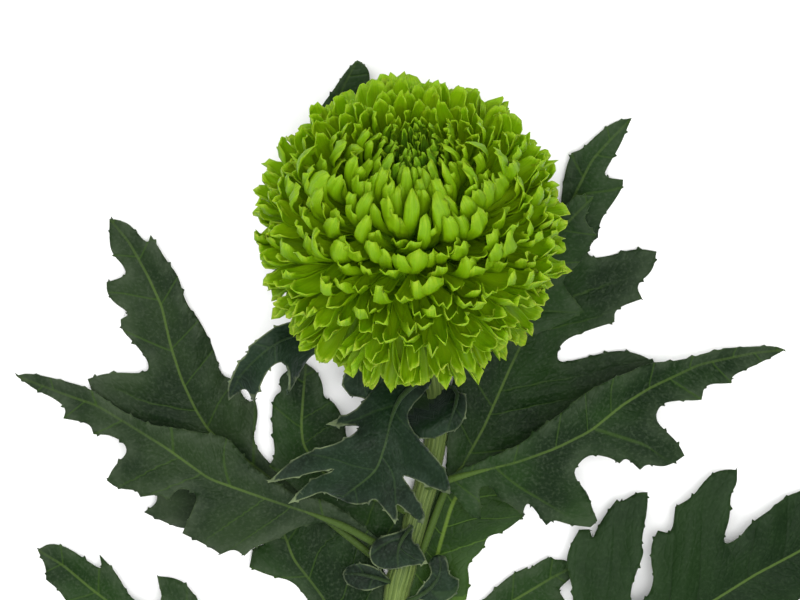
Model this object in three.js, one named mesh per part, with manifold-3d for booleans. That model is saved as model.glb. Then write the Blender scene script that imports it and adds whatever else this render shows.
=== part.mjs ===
// A wasabi chrysanthemum, cut and laid on a table. Millimetres, +Z up, the stem along Y with the
// bloom at +Y. The parts are placed from the point of the stem's underside just below the two large
// front leaves; at the end the origin moves to the middle of the footprint, on the table.
import * as THREE from 'three';
import { mergeVertices } from 'three/addons/utils/BufferGeometryUtils.js';
import Module from 'manifold-3d';

const solid = await Module();
solid.setup();

// Bloom: a ball of petals round a smaller core, its axis tipped up from the table
const bloomRadius = 45;
const bloomCentre = new THREE.Vector3(4.2, 117, 42.6);
const bloomTilt = 45;
const coreRadius = 31;
const coreDetail = 3;
const coreBase = 22.3;
const dimpleDepth = 7;
const dimpleAngle = 15;

// Petals: a spiral from the apex to the back; width at the apex and from fullSizeAngle on, in mm,
// petalFill of it taken by the petal; angles in degrees from the apex
const firstPetal = 3;
const lastPetal = 149;
const petalSmall = 5;
const petalLarge = 10.4;
const fullSizeAngle = 85;
const petalFill = 0.9;
const petalWander = 0.42;
const petalThick = 1.1;
const petalRoot = 4;
const leanStart = 60;
const backLean = 14;

// One petal: a channel open towards the apex, widest near its end, with a hooded tip. Each station
// is [share of length, share of width, depth of channel as a share of width, hood in mm]
const petalStations = [[0, 0.5, 0.16, 0], [0.82, 1, 0.3, 0.4], [1, 0.52, 0.28, 2.2]];
const petalTipThick = 0.6;

// Green cup between stem and petals: its profile as [distance below the bloom's centre, radius],
// and two rows of bracts round it as [distance below, radius, half width] from root to tip
const cupProfile = [[31, 3.2], [28.6, 6.4], [26, 9], [23.8, 9.6], [22.6, 8.6]];
const cupSides = 12;
const bractCount = 9;
const bractRows = [
  [[28.6, 4.6, 1.6], [26, 10.6, 2.6], [23.4, 14, 0.4]],
  [[26.6, 7, 1.8], [24.6, 10.8, 2.4], [22.6, 12.8, 0.4]],
];
const bractHalfThick = 0.5;

// Stem: radius at the cut and at the neck, sides of its section, where it ends under the bloom
const stemRadius = 3.8;
const neckRadius = 3.1;
const stemSides = 12;
const stemSteps = 20;
const stemEnd = 31.3;
const cutY = -126;

// Leaves: blade thickness, petiole half width, half thicknesses of petiole and rib, the slope past
// which a sheet gets no thicker, gap to the stem
const bladeThick = 0.8;
const petioleHalf = 1.7;
const petioleThick = 1.3;
const ribThick = 0.75;
const steepest = 0.6;
const stemGap = 0.32;

// How a blade is spanned: how far veins slant forward, and the line where the blade is fullest
const veinSlant = 0.7;
const ribStep = 0.5;
const fullestShare = 0.6;
const fullestLimit = 12;

// Parts that reach down to the table are pressed on to it: heights from low to high become floor
// to high
const bladePress = { low: -3, high: 4, floor: 0.5 };
const petalPress = { low: -1.5, high: 7, floor: -1.4 };

const degree = Math.PI / 180;
const goldenAngle = Math.PI * (3 - Math.sqrt(5));

const leafGreen = 0x2e4a2c;
const bractGreen = 0x3d5c3c;
const petalGreen = 0x8fc31a;
const cupGreen = 0x6f9a3a;
const stemGreen = 0x8da75a;

// Plan of each leaf: rib is [x, y, z] from the stem's axis to the tip. The two edges are [x, y]
// from base to tip, with their lobes, bays and teeth. left is to the left when looking from the
// stem towards the tip. rise and bend say how each half climbs off the rib and then hangs.
const leafPlans = [
  {
    name: 'leaf_left_front',
    rib: [[3.2, 14.5, 4], [-6, 19.5, 8.5], [-15, 25.5, 12], [-26, 30, 14], [-37, 34, 15],
      [-54, 40, 14.5], [-67, 49, 12], [-76, 54, 9], [-87, 60, 5.5], [-97, 63, 3.5], [-111, 68, 1.4]],
    left: [[-28, 26], [-35, 22], [-41, 20], [-44, 17], [-47, 19], [-51, 17], [-56, 21], [-62, 24],
      [-59, 31], [-57, 36], [-63, 38], [-66, 34], [-68, 36], [-74, 35], [-75, 37], [-81, 37], [-84, 39],
      [-82, 43], [-77, 48], [-82, 52], [-88, 52], [-89, 55], [-97, 56], [-96, 59], [-100, 62],
      [-105, 64]],
    right: [[-8, 23], [-12, 26.5], [-17, 30], [-22, 31.5], [-29, 35], [-36, 40], [-42, 44], [-45, 48],
      [-49, 52], [-54, 53], [-65, 55], [-70, 55], [-76, 57], [-82, 60], [-89, 65], [-97, 67], [-107, 69]],
    rise: [0.18, 0.1],
    bend: [0.01, 0.02],
  },
  {
    name: 'leaf_left_back',
    rib: [[2, 9, 3.6], [-7, 14.5, 3.4], [-16, 22, 3], [-28, 31, 3.4], [-41, 41, 2.6],
      [-54.5, 51.5, 2.2], [-58.5, 58, 2], [-62.5, 67, 2.2], [-65.5, 77, 3], [-68, 89, 3.2],
      [-72, 98, 3], [-77.5, 108, 2.2], [-83, 114.5, 1.2]],
    left: [[-30, 29], [-39, 31], [-49, 27], [-58, 22], [-63, 22], [-66, 23], [-74, 27], [-70, 30],
      [-70, 34], [-66, 41], [-72, 45], [-81, 55], [-87, 58], [-90, 67], [-84, 69], [-72, 69], [-72, 73],
      [-76, 78], [-80, 82], [-80, 85], [-77, 87], [-82, 90], [-84, 93], [-84, 96], [-78, 98],
      [-79, 101], [-82, 104], [-83, 107], [-83, 112]],
    right: [[-6, 19], [-10.5, 22.5], [-15, 26], [-20.5, 30], [-28, 34], [-38, 43], [-42, 49], [-40, 56],
      [-41, 61], [-43, 60], [-47, 67], [-51, 68], [-53, 76], [-57, 85], [-61, 90], [-63, 98],
      [-66, 102], [-71, 110], [-72, 107], [-77, 113], [-80, 114]],
    rise: [0.06, 0.15],
    bend: [0.005, 0.012],
  },
  {
    name: 'leaf_back_left',
    rib: [[6.2, 26, 3.6], [-3, 31.5, 5], [-13, 34.5, 5.4], [-21.5, 40, 5.4], [-27, 48, 5],
      [-27.5, 54, 4.6], [-27, 61, 4.4], [-26.5, 67, 4], [-26, 72, 3]],
    left: [[-3, 26], [-9, 26.5], [-14.5, 28.5], [-19, 32], [-24, 35], [-32, 38], [-37, 42], [-35, 45],
      [-36, 52], [-36, 60], [-35, 63], [-33, 64], [-34, 67], [-33, 69], [-30, 71]],
    right: [[-13, 38], [-16, 43], [-14, 49], [-15, 56], [-18, 61], [-21, 62], [-21, 66], [-23, 70]],
    rise: [0.05, 0.12],
    bend: [0.006, 0.012],
  },
  {
    name: 'leaf_neck_left',
    rib: [[11.8, 72, 5.6], [4, 75, 10], [-3, 77, 12], [-11, 80, 13.6], [-20, 84, 17], [-28, 83.5, 21],
      [-32, 83, 24], [-37, 80, 25], [-41.5, 75.5, 22], [-45, 71, 18], [-48.5, 62, 9]],
    left: [[-17, 80], [-22, 78], [-25, 76], [-27, 72], [-31, 66], [-30, 72], [-32, 77], [-36, 75],
      [-38, 71], [-41, 63], [-43, 68], [-46, 65]],
    right: [[-21, 87], [-27, 88], [-33, 87], [-37, 85], [-42, 81], [-42, 79], [-45, 76], [-47, 71],
      [-48.5, 67]],
    rise: [0.05, 0.05],
    bend: [0.03, 0.035],
  },
  {
    name: 'leaf_neck_front',
    rib: [[12.2, 69, 5], [9, 69.5, 11], [5, 68, 16], [1, 65, 21], [-1.2, 60, 25], [-2.6, 53.5, 27],
      [-5.2, 45.5, 26], [-8.5, 42, 24.5], [-12.5, 38.5, 22], [-16, 35, 19]],
    left: [[3, 60], [7, 53], [14, 45], [16, 39], [16, 36], [9, 40], [1, 45], [5, 39], [9, 31], [8, 28],
      [4, 32], [0, 36], [1, 32], [0, 29], [-1, 31], [-4, 35], [-6, 37], [-8, 35], [-12, 34]],
    right: [[-2, 66], [-10, 63], [-12, 61], [-20, 57], [-16, 57], [-9, 58], [-14, 54], [-25, 50],
      [-31, 46], [-37, 40], [-28, 42], [-15, 46], [-25, 41], [-31, 34], [-25, 36], [-21, 38], [-18, 36]],
    rise: [0.1, 0.1],
    bend: [0.014, 0.018],
  },
  {
    name: 'leaf_neck_right',
    rib: [[12.4, 65, 4.2], [17, 66.5, 8], [18.5, 66.5, 13], [18, 64.5, 17.5], [17, 61.5, 19.5],
      [16, 58.5, 19.5], [15, 54.5, 17.5]],
    left: [[20.5, 65], [21, 61], [19, 57], [17, 55]],
    right: [[14, 65], [8, 64.5], [5, 63], [2, 61], [0.5, 58], [1, 55], [4.5, 53], [9, 52.8], [13, 53.5]],
    rise: [0.1, 0.05],
    bend: [0.02, 0.014],
  },
  {
    name: 'leaf_right_front',
    rib: [[8.4, 35, 3.6], [10.5, 36.5, 8.6], [15.5, 39, 10.6], [25, 42, 13], [35, 45, 15.5],
      [46.5, 49.5, 16.5], [56.5, 54.5, 16], [66, 62, 14], [74, 66.5, 11.5], [88.5, 72.5, 7],
      [104.5, 75.2, 3.5], [114, 75.8, 1.5]],
    left: [[21, 43], [29, 47], [37, 51], [42, 56], [48, 60], [55, 66], [63, 70], [69, 72], [74, 74],
      [84, 74], [95, 77], [103, 77], [111, 77]],
    right: [[18, 34], [21, 29], [25, 27], [25, 31], [24, 37], [28, 38], [30, 34], [34, 32], [37, 29],
      [38, 33], [40, 32], [44, 26], [46, 28], [51, 26], [57, 25], [59, 27], [57, 32], [56, 36],
      [52, 41], [52, 44], [56, 48], [62, 47], [65, 45], [67, 47], [71, 43], [73, 45], [77, 44],
      [81, 45], [84, 47], [82, 51], [79, 54], [75, 58], [77, 62], [82, 63], [89, 63], [90, 67],
      [98, 67], [98, 69], [103, 71], [108, 73]],
    rise: [0.12, 0.16],
    bend: [0.014, 0.009],
  },
  {
    name: 'leaf_right_back',
    rib: [[2.2, 10, 3.6], [7.6, 15, 5], [14, 33, 4.2], [20, 42, 4], [26, 53, 3.2], [34, 71.5, 2.4],
      [37.5, 79, 2.2], [43.5, 93.5, 2.2], [48.1, 108.5, 2.4], [50.5, 118.5, 2.6], [57, 132, 3],
      [62.5, 138, 2.4], [68.5, 144, 1.2]],
    left: [[15, 44], [16, 54], [20, 60], [24, 63], [22, 69], [20, 76], [22, 79], [28, 75], [34, 79],
      [31, 88], [28, 95], [31, 100], [40, 94], [42, 102], [39, 110], [42, 114], [47, 110], [48, 119],
      [49, 128], [51, 134], [54, 135], [58, 139], [63, 143]],
    right: [[22, 41], [28, 39], [37, 45], [46, 52], [60, 56], [73, 62], [80, 68], [75, 73], [68, 75.8],
      [62, 75.3], [55, 73.3], [47, 71.5], [48, 78], [57, 81.7], [64, 84], [64, 88], [72, 91], [70, 95],
      [75, 99], [76, 105], [70, 106], [61, 103], [57, 103], [55, 106], [59, 109], [59, 111], [60, 115],
      [63, 119], [66, 124], [66, 126], [60, 127], [62, 131], [65, 136], [67, 141]],
    rise: [0.04, 0.06],
    bend: [0.004, 0.004],
  },
  {
    name: 'leaf_low_left',
    rib: [[-1, -36, 3.6], [-8, -26, 3.6], [-15, -13, 3], [-21, 1, 2.6], [-25, 6.5, 2.6], [-30, 13, 2.6],
      [-33, 21.5, 2], [-35, 26, 1.2]],
    left: [[-15, -18], [-22, -6], [-27, 3], [-31, 7], [-36, 8], [-43, 11], [-42, 16], [-36, 19],
      [-38, 24]],
    right: [[-7, -20], [-5.3, -12], [-5, -4], [-4.7, 4], [-4.8, 9.6], [-9.3, 13.1], [-13, 16.2],
      [-17, 19.5], [-20, 19], [-21, 14], [-23, 19], [-28, 23], [-32, 26]],
    rise: [0.02, 0.05],
    bend: [0.006, 0.01],
  },
  {
    name: 'leaf_low_right',
    rib: [[-0.6, -12, 3.6], [4.5, -6, 3.2], [7.3, -1, 3], [10.8, 8, 2], [13.5, 18.5, 1.4],
      [16.5, 29, 1.2], [21, 37.5, 1.2], [25, 44, 1.1]],
    left: [[5.5, 3], [7, 10], [9, 18], [11, 26], [12.5, 33], [13, 37], [16, 42], [20, 45]],
    right: [[13, -3], [21, 1], [22, 7], [21, 12], [26, 16], [27, 20], [32, 21], [38, 26], [34, 32],
      [29, 33], [31, 37], [30, 41]],
    rise: [0.02, 0.02],
    bend: [0.004, 0.004],
  },
  {
    name: 'leaf_low_right_small',
    rib: [[-1, -32, 3.6], [9, -20, 4], [19, -11, 3.6], [27, -4, 3.2], [39.5, 3.5, 3.2], [46, 7.5, 3],
      [53, 11, 2]],
    left: [[18, -9], [22, -3], [26, 1], [31, 6], [35, 9], [39, 11], [39, 10], [43, 13], [46, 14],
      [47, 13], [50, 13]],
    right: [[22, -11], [31, -9], [40, -6], [46, -3], [50, 1], [48, 4], [50, 6], [53, 8.5]],
    rise: [0.06, 0.06],
    bend: [0.01, 0.01],
  },
  {
    name: 'leaf_base_left',
    rib: [[-1.8, -63, 3.6], [-10, -56, 5], [-28, -42.5, 6], [-49, -26.5, 6.5], [-69.5, -10.5, 6.5],
      [-79.5, -3, 5.7], [-89.5, 4.5, 4.5], [-98, 11.4, 2.5], [-105.5, 15.6, 1.2]],
    left: [[-28, -48], [-40, -51], [-51, -48], [-46, -40], [-51, -34], [-62, -36], [-73, -34],
      [-79, -29], [-73, -26], [-69, -19], [-75, -15], [-84, -14], [-91, -9], [-86, -7], [-87, -3],
      [-93, -2], [-97, 1], [-99, 4], [-103, 7], [-103, 11]],
    right: [[-23, -40], [-28, -30], [-36, -26], [-46, -20], [-50, -10], [-56, -2], [-61, 6], [-65, 8],
      [-70, 9], [-68, 0], [-73, 0], [-78, 2], [-82, 10], [-87, 15], [-86, 10], [-92, 14], [-97, 17],
      [-102, 18]],
    rise: [0.1, 0.1],
    bend: [0.012, 0.012],
  },
  {
    name: 'leaf_base_right',
    rib: [[-2, -59, 3.6], [13, -51, 6], [31, -40, 8], [49, -24.5, 9.5], [72, -10.5, 10], [94, 2.5, 9],
      [106, 10, 8], [119, 16.5, 6], [129.5, 23, 3.5], [136, 28.5, 1.4]],
    left: [[31, -35], [43, -22], [50, -9], [53, 3], [50, 13], [51, 18], [54, 23], [57, 23], [58, 20],
      [59, 23], [62, 28], [65, 32], [66, 31], [71, 34], [74, 34], [74, 30], [73, 25], [72, 19],
      [73, 17], [71, 12], [69, 6], [69, 1], [74, 3], [76, 9], [75, 13], [75, 19], [77, 23], [81, 22],
      [82, 30], [87, 33], [90, 37], [93, 40], [97, 41], [100, 41], [100, 37], [98, 34], [98, 27],
      [96, 21], [97, 19], [101, 21], [103, 24], [106, 27], [115, 33], [119, 34], [127, 37], [128, 32],
      [131, 34]],
    right: [[35, -45], [44, -47], [58, -54], [68, -57], [70, -48], [67, -40], [75, -35], [88, -42],
      [99, -42], [103, -35], [97, -28], [95, -21], [103, -16], [114, -20], [123, -15], [121, -9],
      [115, -5], [117, 2], [125, 5], [134, 6], [136, 11], [131, 15], [134, 22]],
    rise: [0.08, 0.08],
    bend: [0.005, 0.008],
  },
  {
    name: 'leaf_top_back',
    rib: [[8.6, 82.5, 10.5], [3, 83, 8], [-3, 85, 6.5], [-10, 89, 4.6], [-18, 97, 2.4],
      [-22.5, 109, 1.2], [-23, 124, 1.2], [-20, 139, 1.6], [-15.5, 152, 3], [-11, 161, 5]],
    left: [[-15, 91.6], [-23, 96], [-31, 102], [-33, 111], [-29, 115], [-32, 121], [-31, 129],
      [-27, 136], [-24, 143], [-21, 148], [-18, 152], [-16, 155], [-13.6, 158.4]],
    right: [[-13, 97], [-18, 104], [-20, 113], [-18, 122], [-14, 133], [-16, 135], [-9, 143], [-8, 150],
      [-7, 157], [-9, 160]],
    rise: [0.02, 0.02],
    bend: [0.002, 0.002],
  },
  {
    name: 'leaf_back_right',
    rib: [[11, 76, 7], [16, 78, 8], [22, 82, 8.5], [32, 91, 8], [40, 101, 8.5], [47, 112, 10.5],
      [52, 117.3, 11.5], [57, 122.5, 12.5]],
    left: [[26, 90], [27, 97], [32, 106], [36, 105], [38, 115], [44, 122], [48, 119], [52, 123]],
    right: [[27, 81], [36, 80], [47, 84], [55, 88], [50, 94], [48, 98], [54, 103], [58, 111], [54, 116],
      [56, 120]],
    rise: [0.05, 0.05],
    bend: [0.008, 0.006],
  },
  {
    name: 'leaf_neck_small',
    rib: [[9.8, 79, 9], [5, 77, 14], [0, 76, 16.5], [-5, 75, 18], [-10.5, 73, 18], [-15.5, 68, 16]],
    left: [[-2, 71], [-5, 65], [-8, 64], [-10, 65], [-13, 65]],
    right: [[-5, 78], [-10, 77], [-13, 75], [-15, 71]],
    rise: [0.05, 0.05],
    bend: [0.01, 0.01],
  },
  {
    name: 'bract_front',
    rib: [[5.8, 24.5, 3.6], [5, 24.5, 9], [3, 23.5, 12.4], [0.8, 19.5, 14], [0.6, 16, 13.4],
      [1, 12.4, 11.2]],
    left: [[4.4, 21.5], [8, 18], [9.5, 14.5], [5.5, 14], [3, 13.5]],
    right: [[-1.6, 23], [-5, 22], [-7.4, 19], [-7.6, 16.4], [-6.5, 14], [-3, 12.6]],
    rise: [0.1, 0.1],
    bend: [0.02, 0.02],
  },
  {
    name: 'bract_left',
    rib: [[1.2, 5.5, 3.6], [-4, 8.5, 8], [-8, 10, 9.6], [-12, 10.6, 9.4], [-15.5, 9.8, 8]],
    left: [[-5, 6], [-8, 5], [-12, 6], [-14.5, 7.5]],
    right: [[-4.5, 11.6], [-8, 13.4], [-12, 13.6], [-15, 11.6]],
    rise: [0.1, 0.1],
    bend: [0.03, 0.03],
  },
  {
    name: 'bract_right',
    rib: [[0.8, 0, 3.6], [6, 2.5, 7.4], [10, 5.5, 9.2], [13, 9.5, 9.6], [13.6, 13.5, 9.4],
      [12.6, 16, 8.6]],
    left: [[7, 5.5], [9.4, 8.5], [10.8, 11], [9.6, 13.5], [11, 15.6]],
    right: [[10.5, 1.5], [15, 1.5], [18.6, 4.5], [18.8, 8.5], [15.6, 10.4], [15.6, 13.5], [14.6, 15.6]],
    rise: [0.12, 0.12],
    bend: [0.04, 0.04],
  },
];

function settle(z, { low, high, floor }) {
  const depth = Math.min(high - z, high - low);
  if (depth <= 0) return z;
  return high - depth + depth ** 2 * (floor - low) / (high - low) ** 2;
}

// Seeded draw from 0 to 1, the same in every run
let seed = 7;
function random() {
  seed = (seed * 16807) % 2147483647;
  return seed / 2147483647;
}

function meshFrom(points, triangles) {
  const geometry = new THREE.BufferGeometry().setFromPoints(points);
  geometry.setIndex(triangles.flat());
  return geometry;
}

// Closed skin over rings of equal count; each cap is cut from its first and middle vertices
function loft(rings) {
  const count = rings[0].length;
  const half = count / 2;
  const triangles = [];
  for (let k = 0; k + 1 < rings.length; k += 1) {
    for (let i = 0; i < count; i += 1) {
      const a = k * count + i;
      const b = k * count + (i + 1) % count;
      triangles.push([a, b, b + count], [a, b + count, a + count]);
    }
  }
  const last = (rings.length - 1) * count;
  for (let i = 1; i < half; i += 1) {
    triangles.push([i, i - 1, count - i], [last + i - 1, last + i, last + count - i]);
  }
  for (let i = 1; i < half; i += 1) {
    triangles.push([i, count - i, count - i - 1], [last + i, last + count - i - 1, last + count - i]);
  }
  return meshFrom(rings.flat(), triangles);
}

function toSolid(geometry) {
  const plain = geometry.clone();
  plain.deleteAttribute('normal');
  plain.deleteAttribute('uv');
  const joined = mergeVertices(plain, 1e-4);
  return new solid.Manifold(new solid.Mesh({
    numProp: 3,
    vertProperties: Float32Array.from(joined.attributes.position.array),
    triVerts: Uint32Array.from(joined.index.array),
  }));
}

function toGeometry(body) {
  const mesh = body.getMesh();
  const geometry = new THREE.BufferGeometry();
  geometry.setAttribute('position', new THREE.BufferAttribute(Float32Array.from(mesh.vertProperties), 3));
  geometry.setIndex(new THREE.BufferAttribute(Uint32Array.from(mesh.triVerts), 1));
  return geometry;
}

const flower = new THREE.Group();
flower.name = 'wasabi_chrysanthemum';

function addNode(name, body, color) {
  const mesh = new THREE.Mesh(toGeometry(body), new THREE.MeshStandardMaterial({ color, roughness: 0.7 }));
  mesh.name = name;
  flower.add(mesh);
}

// Directions of the bloom: its axis, and the two across it
const bloomAxis = new THREE.Vector3(0, Math.cos(bloomTilt * degree), Math.sin(bloomTilt * degree));
const bloomSide = new THREE.Vector3(1, 0, 0);
const bloomTop = new THREE.Vector3().crossVectors(bloomAxis, bloomSide);

function bloomPoint(radius, polar, azimuth) {
  return bloomCentre.clone()
    .addScaledVector(bloomAxis, radius * Math.cos(polar))
    .addScaledVector(bloomSide, radius * Math.sin(polar) * Math.cos(azimuth))
    .addScaledVector(bloomTop, radius * Math.sin(polar) * Math.sin(azimuth));
}

// Stem: many-sided section with one side on the table, bending up into the neck
const stemLine = new THREE.CatmullRomCurve3([
  [-5, cutY, 0], [-3.4, -86, 0], [-1.8, -46, 0], [0, 0, 0], [2.6, 11, 0], [7, 28.5, 0],
  [11.2, 46, 0], [12.4, 57, 0], [12, 67, 1.2], [10, 76.5, 4.4], [7, 84.8, 9.2],
].map(([x, y, z]) => new THREE.Vector3(x, y, z)).concat([
  bloomPoint(stemEnd + 6, Math.PI, 0).sub(new THREE.Vector3(0, 0, neckRadius)),
  bloomPoint(stemEnd, Math.PI, 0).sub(new THREE.Vector3(0, 0, neckRadius)),
]));

function stemSkin(spare) {
  const rings = [];
  for (let k = 0; k <= stemSteps; k += 1) {
    const t = k / stemSteps;
    const middle = stemLine.getPointAt(t);
    const along = stemLine.getTangentAt(t);
    const radius = stemRadius + (neckRadius - stemRadius) * t;
    const side = new THREE.Vector3(0, 0, 1).cross(along).normalize();
    const up = new THREE.Vector3().crossVectors(along, side);
    middle.z = Math.max(middle.z, 0) + radius * Math.cos(Math.PI / stemSides);
    rings.push(Array.from({ length: stemSides }, (_, i) => {
      const turn = 2 * Math.PI * (i + 0.5) / stemSides;
      return middle.clone()
        .addScaledVector(side, (radius + spare) * Math.cos(turn))
        .addScaledVector(up, (radius + spare) * Math.sin(turn));
    }));
  }
  return loft(rings);
}

addNode('stem', toSolid(stemSkin(0)), stemGreen);
const stemClearance = toSolid(stemSkin(stemGap));

// One leaf. Its flat plan becomes a sheet of triangles: the rib, a line beside it where the blade
// is fullest, and the lobed edge. Each edge point takes its height from the rib by way of the
// slanting vein that leads to it.
function leafSheet(plan) {
  const rib = plan.rib.map(([x, y, z]) => ({ x, y, z, s: 0, half: ribThick }));
  for (let k = 1; k < rib.length; k += 1) {
    rib[k].s = rib[k - 1].s + Math.hypot(rib[k].x - rib[k - 1].x, rib[k].y - rib[k - 1].y);
  }
  const length = rib.at(-1).s;

  const ribAt = (s) => {
    const k = Math.max(1, rib.findIndex((p) => p.s >= Math.min(s, length)));
    const t = (Math.min(s, length) - rib[k - 1].s) / (rib[k].s - rib[k - 1].s);
    return ['x', 'y', 'z'].map((axis) => rib[k - 1][axis] + t * (rib[k][axis] - rib[k - 1][axis]));
  };
  const nearestRib = (x, y) => {
    let best = { d: Infinity, s: 0 };
    for (let s = 0; s <= length; s += ribStep) {
      const [rx, ry] = ribAt(s);
      const d = Math.hypot(x - rx, y - ry);
      if (d < best.d) best = { d, s };
    }
    return best;
  };

  const inPlan = (p) => new THREE.Vector3(p.x, p.y, 0);

  const points = [...rib];
  const triangles = [];
  const spread = (inner, outer) => {
    const outline = [...new Set([...inner, ...outer.toReversed()])];
    const flat = outline.map((p) => new THREE.Vector2(p.x, p.y));
    THREE.ShapeUtils.triangulateShape(flat, []).forEach((corners) => {
      const turn = THREE.ShapeUtils.area(corners.map((i) => flat[i]));
      if (turn < 0) corners.reverse();
      triangles.push(corners.map((i) => points.indexOf(outline[i])));
    });
  };

  ['left', 'right'].forEach((name, index) => {
    const sign = index === 0 ? 1 : -1;
    const height = (s, d) => ribAt(s)[2] + plan.rise[index] * d - plan.bend[index] * d ** 2;
    const beside = (k, d, half) => {
      const before = rib[Math.max(k - 1, 0)];
      const after = rib[Math.min(k + 1, rib.length - 1)];
      const span = Math.hypot(after.x - before.x, after.y - before.y);
      return {
        x: rib[k].x - sign * d * (after.y - before.y) / span,
        y: rib[k].y + sign * d * (after.x - before.x) / span,
        z: height(rib[k].s, d),
        s: rib[k].s,
        d,
        half,
      };
    };
    let foot = 0;
    const edge = plan[name].map(([x, y]) => {
      const { d, s } = nearestRib(x, y);
      foot = Math.max(foot + 0.01, s - veinSlant * d, rib[2].s);
      return { x, y, z: height(foot, d), s: foot, d, half: bladeThick / 2 };
    });
    const petiole = rib.filter((p) => p.s < edge[0].s - 1)
      .map((p, k) => beside(k, petioleHalf, petioleThick / 3));
    const margin = [...petiole, ...edge, rib.at(-1)];
    const sides = margin.slice(1).map((q, k) => new THREE.Line3(inPlan(margin[k]), inPlan(q)));
    const fullest = rib.slice(0, -1).map((p, k) => {
      const clear = sides.map((side) =>
        side.closestPointToPoint(inPlan(p), true, new THREE.Vector3()).distanceTo(inPlan(p)));
      const half = p.s < edge[0].s - 1 ? 0.8 * petioleThick : bladeThick / 2;
      return beside(k, fullestShare * Math.min(...clear, fullestLimit), half);
    });
    fullest.push(rib.at(-1));
    points.push(...margin.slice(0, -1), ...fullest.slice(0, -1));
    spread(rib, fullest);
    spread(fullest, margin);
    rib.forEach((p) => {
      p.half = p.s < edge[0].s ? petioleThick : ribThick + (petioleThick - ribThick) * (1 - p.s / length);
    });
  });
  rib.at(-1).half = bladeThick / 2;
  points.forEach((p) => { p.z = settle(p.z, bladePress); });
  return { points, triangles };
}

// Gives a sheet its thickness: the same triangles above and below, straight over each other and
// further apart where the sheet is steep, and a wall round the rim
function thicken({ points, triangles }) {
  const at = points.map((p) => new THREE.Vector3(p.x, p.y, p.z));
  const normals = at.map(() => new THREE.Vector3());
  const open = new Map();
  triangles.forEach((corners) => {
    const [a, b, c] = corners.map((i) => at[i]);
    const face = b.clone().sub(a).cross(c.clone().sub(a));
    corners.forEach((from, k) => {
      normals[from].add(face);
      const to = corners[(k + 1) % 3];
      if (!open.delete(`${to},${from}`)) open.set(`${from},${to}`, [from, to]);
    });
  });
  const shifted = (way) => at.map((p, i) => {
    const slope = Math.max(normals[i].clone().normalize().z, steepest);
    return p.clone().setZ(p.z + way * points[i].half / slope);
  });
  const above = shifted(1);
  const below = shifted(-1);
  const n = at.length;
  const skin = triangles.flatMap(([a, b, c]) => [[a, b, c], [n + a, n + c, n + b]]);
  open.forEach(([from, to]) => skin.push([to, from, n + from], [to, n + from, n + to]));
  return meshFrom([...above, ...below], skin);
}

leafPlans.forEach((plan) => {
  const leaf = toSolid(thicken(leafSheet(plan))).subtract(stemClearance);
  addNode(plan.name, leaf, plan.name.startsWith('bract') ? bractGreen : leafGreen);
});

function petalSkin(azimuth, polar, width, reach) {
  const lean = backLean * degree * THREE.MathUtils.smoothstep(polar / degree, leanStart, lastPetal);
  const rings = petalStations.map(([share, wide, deep, hood]) => {
    const radius = coreRadius - petalRoot + (reach - coreRadius + petalRoot) * share;
    const tip = polar - hood / radius - lean * (1 - share);
    const half = width * wide / 2;
    const across = half / (radius * Math.sin(polar));
    const thick = petalThick / 2 * (share < 1 ? 1 : petalTipThick) / radius;
    const rim = tip - width * deep / radius;
    return [
      bloomPoint(radius, rim, azimuth - across),
      bloomPoint(radius, tip + thick, azimuth),
      bloomPoint(radius, rim, azimuth + across),
      bloomPoint(radius, tip - thick, azimuth),
    ];
  });
  rings.flat().forEach((p) => { p.z = settle(p.z, petalPress); });
  return loft(rings);
}

// The bloom: a core cut off flat at its base, every petal sunk into it, all cut at the table. The
// largest body is kept, so no crumb or bubble of the joining stays
const core = toSolid(new THREE.IcosahedronGeometry(coreRadius, coreDetail)
  .translate(...bloomCentre));
const slab = new THREE.BoxGeometry(4 * bloomRadius, 4 * bloomRadius, 2 * bloomRadius)
  .translate(0, 0, -bloomRadius);
const belowCore = slab.clone().translate(0, 0, -coreBase)
  .applyQuaternion(new THREE.Quaternion().setFromUnitVectors(new THREE.Vector3(0, 0, 1), bloomAxis))
  .translate(...bloomCentre);
const table = slab.clone().translate(0, bloomCentre.y, 0);
let bloom = core.subtract(toSolid(belowCore));
let polar = firstPetal * degree;
for (let azimuth = 0; polar < lastPetal * degree; azimuth += goldenAngle) {
  const grown = THREE.MathUtils.smoothstep(polar / degree, 0, fullSizeAngle);
  const share = petalSmall + (petalLarge - petalSmall) * grown;
  const reach = bloomRadius - dimpleDepth * Math.exp(-((polar / degree / dimpleAngle) ** 2));
  const turn = azimuth + petalWander * share * (random() - 0.5) / (bloomRadius * Math.sin(polar));
  const slip = petalWander * share * (random() - 0.5) / bloomRadius;
  bloom = bloom.add(toSolid(petalSkin(turn, polar + slip, share * petalFill, reach - random())));
  polar += share ** 2 / (2 * Math.PI * bloomRadius ** 2 * Math.sin(polar));
}
const [whole] = bloom.subtract(toSolid(table)).decompose().sort((a, b) => b.volume() - a.volume());
addNode('bloom', whole, petalGreen);

// Cup of green bracts that holds the petals from below
const cupPoint = (down, out, azimuth) =>
  bloomPoint(Math.hypot(down, out), Math.PI - Math.atan2(out, down), azimuth);
let cup = toSolid(loft(cupProfile.map(([down, out]) =>
  Array.from({ length: cupSides }, (_, i) => cupPoint(down, out, 2 * Math.PI * i / cupSides)))));
bractRows.forEach((line, row) => {
  for (let k = 0; k < bractCount; k += 1) {
    const turn = 2 * Math.PI * (k + row / 2) / bractCount;
    cup = cup.add(toSolid(loft(line.map(([down, out, half]) => [
      cupPoint(down, out, turn - half / out),
      cupPoint(down, out + bractHalfThick, turn),
      cupPoint(down, out, turn + half / out),
      cupPoint(down, out - bractHalfThick, turn),
    ]))));
  }
});
addNode('calyx', cup, cupGreen);

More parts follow.
